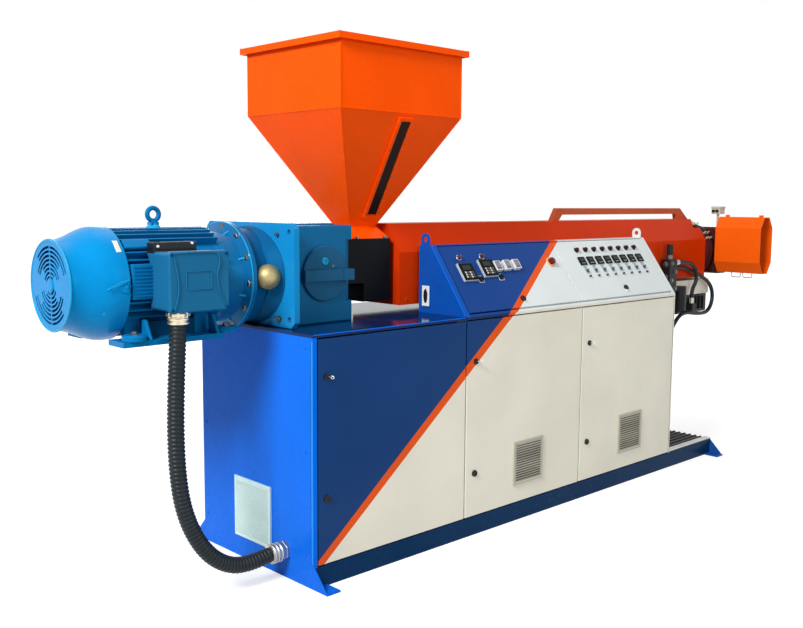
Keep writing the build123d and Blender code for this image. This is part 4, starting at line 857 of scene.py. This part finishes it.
# Bolts on the unseen side in the darker blue of painted shade
stamp(hex_bolt, [standing((x, high[1] + 0.007, z), BACK, size=0.8, turn=z * 7)
                 for x in (low[0] + 0.085, high[0] - 0.07) for z in (1.102, 1.207, 1.313)],
      "gearbox_bolts", "gearbox_painted_shade")
plug = turned([(0.016, 0), (0.016, 0.01), (0.012, 0.012), (0.012, 0.02), (0.015, 0.022), (0.015, 0.032),
               (0.011, 0.036), (0.003, 0.037)], 6)
stamp(plug, [standing((high[0] - 0.08, high[1], 1.045), BACK, size=0.8)], "gearbox_drain", "brass")


# Cabinet doors and panels


lid_out = Vector((0, -sin(slope), cos(slope)))
lid_up = Vector((0, cos(slope), sin(slope)))


def on_lid(x, v, n=0.0):
    """Place on the console's slope: along, up the slope and out from it."""
    return Vector((x, door_y + v * cos(slope) - n * sin(slope), 1.0 + v * sin(slope) + n * cos(slope)))


def fit(pattern, places, name, finish, body, out=0.0, turn=0.0):
    """Copies of a pattern on a console lid, each at a place along and up its slope."""
    return stamp(pattern, [standing(on_lid(x, v, out), lid_out, lid_up, turn=turn) for x, v in places],
                 name, finish, body)


# Round lock face with a sunk middle and a turned bar in it
lock_face = joined([
    turned([(0.015, 0), (0.015, 0.0066), (0.0136, 0.0082), (0.0098, 0.0082), (0.0094, 0.006), (0.002, 0.006)], 28),
    block((-0.0017, -0.0068, 0.0052), (0.0017, 0.0068, 0.0084), 0.0006, 1)])

# Key left in its lock: shaft, shoulder and round bow with a hole
door_key = joined([
    block((-0.0011, -0.003, 0.006), (0.0011, 0.003, 0.021), 0.0004, 1),
    block((-0.0016, -0.0062, 0.019), (0.0016, 0.0062, 0.024), 0.0005, 1),
    bead(ring_points((0, 0, 0.033), 0.0086, 16), 0.0026, True, 2)])

for body, x, low, high in (("door_left", -0.531, 0.351, 0.834), ("door_middle", 0.322, 0.288, 0.799),
                           ("door_right", 1.178, 0.288, 0.799)):
    for pattern, z, out, size, turn, part, finish in (
            (lock_face, low, FRONT, 1, 0, "_low_lock", "lock_black"),
            (lock_face, high, FRONT, 0.9, 0.5, "_high_lock", "lock_black"),
            (door_key, high, (0.25, -1, 0), 0.8, 0.4, "_key", "bright_zinc")):
        stamp(pattern, [standing((x, door_y, z), out, size=size, turn=turn)], body + part, finish, body)
for body, place in (("lid_left", (0.689, 0.065)), ("lid_right", (1.553, 0.069))):
    fit(lock_face, [place], body + "_lock", "lock_black", body)

# Small screws in the corners of the door vents, and along the fixed panels
door_vents = (("vent_middle", "door_middle"), ("vent_right", "door_right"))
for node, body in door_vents:
    low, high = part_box(node)
    corners = product((low[0] + 0.005, high[0] - 0.005), (low[1],), (low[2] + 0.005, high[2] - 0.005))
    stamp(pan_screw, spots(corners, FRONT, 0.62), node + "_screws", "vent_plastic", body)
stamp(pan_screw, spots(product((-0.6075,), (-0.196, -0.076, 0.044), (0.099, 0.345)), LEFT, 0.8),
      "end_vent_screws", "vent_pale")
# End panel screws in its blue, which is partly painted light
stamp(pan_screw, spots(product((-0.6,), (-0.43, 0.27), (0.13, 0.54, 0.945)), LEFT), "end_panel_screws", "bright_blue")
back_y = 0.299
stamp(pan_screw, spots(product((1.989,), (-0.44, -0.088, 0.264), (0.13, 0.945)), RIGHT)
      + spots(product((-0.56, -0.2, 0.16, 0.32, 0.7, 1.08, 1.18, 1.56, 1.95), (back_y,), (0.13, 0.945)), BACK),
      "panel_screws", "cream")

# Pressed louvres in the back panels
hood = start_box((-0.055, -0.006, -0.002), (0.055, 0.006, 0.01))
narrow(hood, lambda c, n: n.z > 0.9, (0.9, 0.2, 1), (0, 0.006, 0.01))
soften(hood, 0.0015, 1)
stamp(hood, [standing((x + column, back_y, 0.7 + row * 0.024), BACK) for x in (-0.18, 0.69, 1.55)
             for column in (-0.07, 0.07) for row in range(7)], "back_louvres", "cream")


# Console and folded edges


# Pale border and dark oval of the socket plate on the console's end
place = standing((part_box("console_side_left")[0][0], -0.224, 1.077), LEFT)
border = block((-0.0225, -0.0465, -0.004), (0.0225, 0.0465, 0.0016), 0.0012)
sink(border, lambda c, n: n.z > 0.9, 0.0035, (0, 0, -0.001))
finish_piece(moved(border, place), "socket_border", "console_white")
oval = turned([(0.0125, 0), (0.0125, 0.002), (0.011, 0.0034), (0.0085, 0.0034), (0.008, 0.0012), (0.002, 0.0012)], 32)
moved(oval, Matrix.Diagonal((1, 2.6, 1, 1)))
finish_piece(moved(oval, place), "socket_oval", "lock_black")

# Bright blue bead on the console end plate's slope edge as painted highlight, and a bead in the lid's own white on the
# right lid's edge, where it meets the left one
finish_piece(bead([on_lid(0.2552, v, 0.0004) for v in (0.004, 0.1, 0.2, 0.3, 0.374)], 0.0024),
             "console_side_edge", "bright_blue")
finish_piece(bead([on_lid(1.1245, v, -0.0006) for v in (0.022, 0.1, 0.2, 0.3, 0.325)], 0.0022),
             "lid_right_edge", "console_white", "lid_right")

# Folded front edge of the end panel, in a lighter blue that is painted highlight, with the dark joint beside it
finish_piece(block((-0.6016, door_y, 0.1), (-0.5996, -0.464, 0.975), 0.0006, 1), "panel_edge", "edge_blue_painted_highlight")
finish_piece(block((-0.6008, -0.463, 0.1), (-0.5996, -0.4605, 0.975), 0.0003, 1), "panel_joint", "navy_blue")

# Dark gaps between the slats of the door vents, and thin lines on the end vent
gap = block((-0.09, -0.0024, -0.0004), (0.09, 0.0024, 0.0005), 0.0003, 1)
for node, body in door_vents:
    low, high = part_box(node)
    middle = (low[0] + high[0]) / 2
    stamp(gap, spots([(middle, low[1], low[2] + 0.023 + 0.0118 * k) for k in range(15)], FRONT),
          node + "_gaps", "vent_shade", body)
low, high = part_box("left_vent")
line = block((-0.112, -0.0011, -0.0004), (0.112, 0.0011, 0.0005), 0.0003, 1)
stamp(line, spots([(low[0], (low[1] + high[1]) / 2, low[2] + 0.016 + 0.0095 * k) for k in range(24)], LEFT),
      "left_vent_lines", "vent_line")

# Bright blue bead along the table's front edge: painted highlight
finish_piece(bead([(x, door_y, 0.999) for x in (-0.596, -0.3, 0, 0.25)], 0.0022), "table_edge", "bright_blue")


# Instruments


def case_pattern(width, height, depth, border, sunk):
    """Instrument case with a bevelled front edge and a sunk front."""
    case = block((-width / 2, -height / 2, 0), (width / 2, height / 2, depth), 0.0016)
    return sink(case, lambda c, n: n.z > 0.9 and c.z > depth - 0.0005, border, (0, 0, -sunk))


def dome_pattern(radius, depth):
    """Round lamp lens."""
    return turned([(radius, 0), (radius, depth * 0.55), (radius * 0.93, depth * 0.75), (radius * 0.72, depth * 0.92),
                   (radius * 0.38, depth), (radius * 0.08, depth * 1.02)], 28)


def ring_pattern(outer, inner, depth):
    """Flat ring with a rounded edge and a low middle."""
    return turned([(outer, 0), (outer, depth * 0.7), (outer * 0.95, depth), (inner, depth),
                   (inner * 0.98, depth * 0.4), (inner * 0.2, depth * 0.4)], 32)


# Left lid: drive keypads, small meters, lamps, selectors and the emergency stop
body = "lid_left"
keypads = [(0.396, 0.224), (0.543, 0.238)]
fit(block((-0.0468, -0.0468, 0), (0.0468, 0.0468, 0.0118), 0.0012, 1), keypads, "keypad_cases", "case_grey", body)
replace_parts(fit(case_pattern(0.088, 0.088, 0.006, 0.006, 0.0012), keypads, "keypad_faces", "face_black", body, 0.011),
            "left_instruments")
fit(case_pattern(0.056, 0.024, 0.0022, 0.002, 0.0008), [(x - 0.004, v + 0.019) for x, v in keypads],
    "keypad_windows", "display_glass", body, 0.015)
button = block((-0.0048, -0.0042, 0), (0.0048, 0.0042, 0.0026), 0.001)
keys = [(x - 0.024 + 0.016 * column, v - 0.006 - 0.012 * row)
        for x, v in keypads for row in range(3) for column in range(4)]
fit(button, keys[::2], "keypad_keys_pale", "key_pale", body, 0.015)
fit(button, keys[1::2], "keypad_keys_dark", "key_grey", body, 0.015)

meters = [(0.61, 0.243), (0.68, 0.245), (0.748, 0.246)]
fit(case_pattern(0.0455, 0.0515, 0.021, 0.0036, 0.0016), meters, "meter_cases", "case_white", body)
fit(case_pattern(0.037, 0.043, 0.0014, 0.0026, 0.0005), meters, "meter_windows", "meter_grey", body, 0.0192)
fit(block((-0.004, -0.003, 0), (0.004, 0.003, 0.0018), 0.0008, 1),
    [(x + 0.011 * k, v - 0.013) for x, v in meters for k in (-1, 0, 1)], "meter_keys", "key_grey", body, 0.0199)

lamps = [(0.39, 0.305), (0.545, 0.305)]
fit(ring_pattern(0.0148, 0.0112, 0.005), lamps, "left_lamp_rings", "bright_zinc", body)
fit(dome_pattern(0.0116, 0.0185), lamps, "left_lamp_lenses", "lamp_dark", body)

switches = [(0.469, 0.186), (0.612, 0.19)]
corners = [(x, v, 0.0006) for x, v in ((-0.017, -0.017), (0.017, -0.017), (0.017, 0.017), (-0.017, 0.017))]
fit(bead(outline(corners), 0.0014, True, 2), switches, "selector_frames", "case_white", body)
selector = joined([
    turned([(0.0112, 0), (0.0112, 0.008), (0.0104, 0.01), (0.008, 0.0108), (0.003, 0.0108)], 28),
    block((-0.0026, -0.0105, 0.009), (0.0026, 0.0105, 0.017), 0.001)])
fit(selector, switches, "selector_knobs", "lock_black", body, 0.0002, 0.6)

stop = [(1.033, 0.252)]
fit(ring_pattern(0.0275, 0.0175, 0.006), stop, "stop_ring", "safety_yellow", body)
fit(turned([(0.014, 0.003), (0.014, 0.013), (0.0178, 0.0145), (0.0186, 0.018), (0.0178, 0.022), (0.015, 0.025),
            (0.0096, 0.0268), (0.002, 0.0272)], 36), stop, "stop_head", "stop_red", body)

# Right lid: eight temperature controllers, each with its lamp, selector and small knob
body = "lid_right"
columns = [1.296 + 0.0763 * i for i in range(8)]


def along(v):
    """Place of each column at one height up the slope."""
    return [(x, v) for x in columns]


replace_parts(fit(case_pattern(0.052, 0.048, 0.008, 0.0036, 0.0014), along(0.246), "controller_bezels",
                "face_black", body), "right_instruments")
fit(case_pattern(0.04, 0.017, 0.0012, 0.0012, 0.0004), along(0.2535), "controller_screens", "display_glass",
    body, 0.0064)
fit(block((-0.0038, -0.0016, 0), (0.0038, 0.0016, 0.0014), 0.0006, 1),
    [(x + 0.0105 * (k - 1), 0.2325) for x in columns for k in range(3)], "controller_keys", "key_pale", body, 0.0064)
fit(ring_pattern(0.015, 0.0114, 0.0045), along(0.314), "zone_lamp_rings", "lock_black", body)
fit(dome_pattern(0.0118, 0.0185), along(0.314), "zone_lamp_lenses", "lamp_red", body)
fit(case_pattern(0.0265, 0.044, 0.0022, 0.002, 0.0006), along(0.1945), "zone_plates", "label_blue", body)
selector = joined([
    turned([(0.008, 0), (0.008, 0.006), (0.0074, 0.0072), (0.003, 0.0076)], 24),
    block((-0.002, -0.0098, 0.006), (0.002, 0.0098, 0.012), 0.0008)])
fit(selector, along(0.186), "zone_selectors", "selector_grey", body, 0.0012, -0.7)
fit(turned([(0.0062, 0), (0.0062, 0.006), (0.0056, 0.01), (0.0046, 0.0108), (0.002, 0.011)], 12), along(0.154),
    "zone_knobs", "selector_grey", body)


# Feed block, hopper and sight window


# Weld beads on the hopper's corners, on the joints of its rim and round its knee
hopper_x = 0.020
beads = []
for sx, sy in product((-1, 1), repeat=2):
    top, knee, neck, skirt, inner, outer = (Vector((hopper_x + sx * x, sy * y, z)) for x, y, z in (
        (0.3505, 0.3175, 2.139), (0.3505, 0.3175, 1.875), (0.075, 0.051, 1.393), (0.1025, 0.1095, 1.342),
        (0.3515, 0.3185, 2.1668), (0.374, 0.341, 2.1668)))
    for start, end, count, radius, sides in ((knee, top, 4, 0.0028, 3), (knee, neck, 6, 0.0028, 3),
                                             (neck, skirt, 3, 0.0026, 3), (inner, outer, 3, 0.0014, 2)):
        beads.append(straight_bead(start, end, count, radius, sides))
corners = [Vector((hopper_x + sx * 0.3508, sy * 0.3178, 1.875)) for sx, sy in ((-1, -1), (1, -1), (1, 1), (-1, 1))]
for start, end in zip(corners, corners[1:] + corners[:1]):
    beads.append(straight_bead(start, end, 8, 0.0022))
finish_piece(beads, "hopper_welds", "hopper_orange")

face_up = Vector((0, -0.267, 0.482)).normalized()
face_out = Vector((0, -0.482, -0.267)).normalized()
sight_x = 0.038


def on_cone(x, along_face, n):
    """Place on the cone's door-side face, measured up from its neck."""
    return Vector((x, -0.051, 1.393)) + face_up * along_face + face_out * n


# Dark glass in the sight slot, and its clamping screws
pane = block((-0.0275, -0.224, 0), (0.0275, 0.224, 0.004), 0.001, 1)
finish_piece(moved(pane, standing(on_cone(sight_x, 0.289, 0.0055), face_out, face_up)), "sight_pane", "sight_glass")
stamp(hex_bolt, [standing(on_cone(sight_x + side * 0.0355, 0.075 + k * 0.0615, 0.0138), face_out, face_up, 0.34, k)
                 for k in range(8) for side in (-1, 1)], "sight_bolts", "oiled_steel")

# Cap screws on the feed block
stamp(socket_screw, spots(product((-0.122, -0.047, 0.081), (0.13,), (1.322,)), BACK, 1.35)
      + spots(product((-0.064, 0.1), (-0.117, 0.117), (1.34,)), UP, 1.2), "feed_bolts", "oiled_steel")


# Barrel cover, heater bands and die end


# Cover straps over the joints of the barrel cover's three lengths, in the cover's orange, which is the hopper's orange
# darkened as painted shade
joint_xs = (1.055, 1.962)
finish_piece([block((x - 0.0175, y0, 1.04), (x + 0.0175, y1, 1.276), 0.0008, 1)
              for x in joint_xs for y0, y1 in ((-0.1628, -0.16), (0.16, 0.1628))], "cover_joints", "cover_orange_painted_shade")

# Screws along the cover's lower edges and joints, in the same painted-shade orange
places = []
for side in (-1, 1):
    places += spots([(0.19 + 0.262 * k, side * 0.161, 1.058) for k in range(11)], (0, side, 0), 1.3)
    places += spots([(x + dx, side * 0.1628, z) for x in joint_xs for dx in (-0.009, 0.009) for z in (1.1, 1.25)],
                    (0, side, 0))
stamp(pan_screw, places, "cover_screws", "cover_orange_painted_shade")

# Wrapped heater bands round the clamp, with their straps, terminal posts and leads
band_steps = [(0.1655, 0), (0.169, 0.002), (0.1702, 0.009), (0.169, 0.017), (0.1702, 0.025), (0.1688, 0.032),
              (0.1655, 0.0345)]
finish_piece([moved(turned(band_steps, 56), standing((x, 0, axle_z), RIGHT)) for x in (2.8775, 2.918)],
             "heater_bands", "heater_red")
finish_piece([hoop(x, 0.1706, 0.0024) for x in (2.8855, 2.9045, 2.926, 2.945)], "heater_straps", "heater_red")
post = turned([(0.009, 0), (0.009, 0.01), (0.0065, 0.011), (0.0065, 0.018), (0.0045, 0.019), (0.0045, 0.026),
               (0.001, 0.0265)], 12)
places = []
for x, a in product((2.895, 2.935), (-62, -50, -20, -8)):
    out = Vector((0, sin(radians(a)), cos(radians(a))))
    places.append(standing(Vector((x, 0, axle_z)) + out * 0.168, out, (1, 0, 0)))
stamp(post, places, "heater_posts", "nickel_brass")
leads = []
for k, x in enumerate((2.887, 2.903, 2.927, 2.943)):
    path = []
    for step in range(10):
        a = radians(-58 + 14 * step + 3 * k)
        r = 0.1755 + 0.004 * sin(step * 1.3 + k)
        path.append(Vector((x + 0.004 * cos(step + k), r * sin(a), axle_z + r * cos(a))))
    leads.append(bead(path, 0.003, False, 2))
finish_piece(leads, "heater_leads", "rubber")

# Dark cylinder inside the guard, its bolts and the guard's side screws
cylinder = turned([(0.052, 0), (0.052, 0.02), (0.046, 0.022), (0.046, 0.17), (0.05, 0.172), (0.05, 0.196),
                   (0.044, 0.202), (0.022, 0.203), (0.021, 0.222), (0.004, 0.223)], 36)
finish_piece(moved(cylinder, standing((3.04, -0.18, axle_z), FRONT)), "slide_cylinder", "oiled_steel")
stamp(hex_bolt, spots([(3.04 + 0.034 * sx, -0.205, axle_z + 0.066 * sz) for sx in (-1, 1) for sz in (-1, 1)],
                      FRONT, 1.1), "cylinder_bolts", "bright_zinc")
places = []
for end, out in zip(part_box("screen_guard"), (LEFT, RIGHT)):
    places += spots(product((end[0],), (-0.47, -0.335, -0.2), (1.165, 1.32)), out, 1.3)
stamp(pan_screw, places, "guard_screws", "guard_orange")

# Lid, screws and two cable glands of the small box over the die end
low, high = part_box("die_box")
top = high[2]
finish_piece(block((low[0] - 0.002, low[1] - 0.002, top - 0.012),
                   (high[0] + 0.002, high[1] + 0.002, top + 0.003), 0.003), "die_box_lid", "beige_box")
corners = product((low[0] + 0.007, high[0] - 0.007), (low[1] + 0.007, high[1] - 0.007), (top + 0.003,))
stamp(pan_screw, spots(corners, UP, 0.8), "die_box_screws", "bright_zinc")
gland = turned([(0.01, 0), (0.01, 0.006), (0.0085, 0.007), (0.0085, 0.014), (0.006, 0.018), (0.002, 0.0182)], 8)
stamp(gland, spots([(low[0], low[1] + dy, top - 0.026) for dy in (0.017, 0.043)], LEFT),
      "die_box_glands", "lock_black")


# Deck, lever valve and conduit fittings


# Drawn aluminium edge strip along the deck's front
finish_piece([block((1.9895, -0.4755, 0.0915), (2.4605, -0.435, 0.0968), 0.0012)]
             + [block((1.991, y - 0.0016, 0.0962), (2.459, y + 0.0016, 0.098), 0.0006, 1)
                for y in (-0.468, -0.461, -0.454, -0.447, -0.44)], "deck_edge", "edge_aluminium")

# Neck sleeve and screwed fittings on the lever valve's block
sleeve = turned([(0.0188, 0), (0.02, 0.002), (0.02, 0.012), (0.0188, 0.014), (0.0188, 0.026), (0.016, 0.028),
                 (0.012, 0.036), (0.01, 0.036)], 28)
stamp(sleeve, [standing((2.372, -0.203, 1.1652))], "valve_sleeve", "oiled_steel")
places = [standing((2.33, -0.203, z), LEFT, size=1.5, turn=z) for z in (1.135, 1.06)]
places += [standing((x, -0.233, z), FRONT, size=1.2, turn=z)
           for x, z in ((2.352, 1.142), (2.392, 1.092), (2.352, 1.04), (2.392, 0.99))]
stamp(hex_bolt, places, "valve_fittings", "oiled_steel")

# Lock nuts and knurled rings of the conduit's two fittings
nut = turned([(0.04, 0), (0.0432, 0.003), (0.0432, 0.013), (0.04, 0.016), (0.02, 0.016)], 6)
ring = turned([(0.0375, 0), (0.0395, 0.002), (0.0395, 0.007), (0.0375, 0.009), (0.02, 0.009)], 40)
stamp(nut, [standing((-1.053, -0.275, 1.088))], "top_lock_nut", "nickel_brass")
stamp(nut, [standing((-0.6165, -0.292, 0.114), RIGHT, size=0.92)], "low_lock_nut", "barrel_steel")
stamp(ring, [standing((-1.053, -0.275, z)) for z in (1.062, 1.076)], "top_rings", "nickel_brass")
stamp(ring, [standing((x, -0.292, 0.112), RIGHT) for x in (-0.672, -0.655, -0.638)], "low_rings", "barrel_steel")

for pattern in patterns:
    bpy.data.objects.remove(pattern)


# Studio and camera


def seen_rays(tree):
    """One for camera, mirror and glass rays, nought for the rest."""
    path = tree.nodes.new("ShaderNodeLightPath")
    seen = sum_of(tree, "MAXIMUM", path.outputs["Is Camera Ray"], path.outputs["Is Glossy Ray"])
    return sum_of(tree, "MAXIMUM", seen, path.outputs["Is Transmission Ray"])


def studio():
    """Pale floor, soft lamps and a plain world."""
    let_go()
    bpy.ops.mesh.primitive_plane_add(size=120, location=(0.8, 0, 0))
    floor = bpy.context.object
    floor.name = "floor"
    material, tree, shader = blank_material("pale_floor")
    shader.inputs["Base Color"].default_value = (0.56, 0.56, 0.56, 1)
    shader.inputs["Roughness"].default_value = 0.9
    shader.inputs["Specular IOR Level"].default_value = 0.0
    shader.inputs["Emission Color"].default_value = (1, 1, 1, 1)
    place = tree.nodes.new("ShaderNodeTexCoord").outputs["Object"]
    reach = tree.nodes.new("ShaderNodeVectorMath")
    reach.operation = "LENGTH"
    tree.links.new(place, reach.inputs[0])
    glow = spread(tree, reach.outputs["Value"], 1.5, 5.0, 0.6, 1.0)
    tree.links.new(sum_of(tree, "MULTIPLY", seen_rays(tree), glow), shader.inputs["Emission Strength"])
    floor.data.materials.append(material)
    for place, aim, size, power, name in (
            ((-5.9, -1.9, 5.2), (0.1, 0, 0.9), 2.4, 620, "key_lamp"),
            ((0.6, -6.2, 3.0), (0.9, 0, 0.9), 3.5, 115, "front_lamp"),
            ((1.0, 1.5, 6.0), (0.8, 0, 1.0), 4.0, 40, "top_lamp"),
            ((3.0, 5.5, 3.0), (0.8, 0, 1.0), 3.5, 90, "back_lamp")):
        lamp = bpy.data.lights.new(name, "AREA")
        lamp.shape = "DISK"
        lamp.size = size
        lamp.energy = power
        holder = bpy.data.objects.new(name, lamp)
        holder.location = place
        holder.rotation_euler = (Vector(aim) - Vector(place)).to_track_quat("-Z", "Y").to_euler()
        link(holder)
    world = bpy.data.worlds.new("studio_world")
    world.use_nodes = True
    tree = world.node_tree
    ground = tree.nodes["Background"]
    ground.inputs["Color"].default_value = (1, 1, 1, 1)
    tree.links.new(sum_of(tree, "MULTIPLY_ADD", seen_rays(tree), 0.72, 0.28), ground.inputs["Strength"])
    bpy.context.scene.world = world


def camera():
    """Camera at the photograph's place and angle."""
    lens = bpy.data.cameras.new("camera")
    lens.sensor_fit = "HORIZONTAL"
    lens.sensor_width = 36.0
    lens.lens = 43.0
    lens.clip_end = 100
    holder = bpy.data.objects.new("camera", lens)
    aim = Matrix.Rotation(radians(-43.7), 4, "Z") @ Matrix.Rotation(radians(83.3), 4, "X")
    roll = Matrix.Rotation(radians(0.4), 4, "Z")
    holder.matrix_world = Matrix.Translation((-2.8308, -3.2932, 1.5043)) @ aim @ roll
    link(holder)
    bpy.context.scene.camera = holder


studio()
camera()
bpy.context.scene.view_settings.view_transform = "Standard"
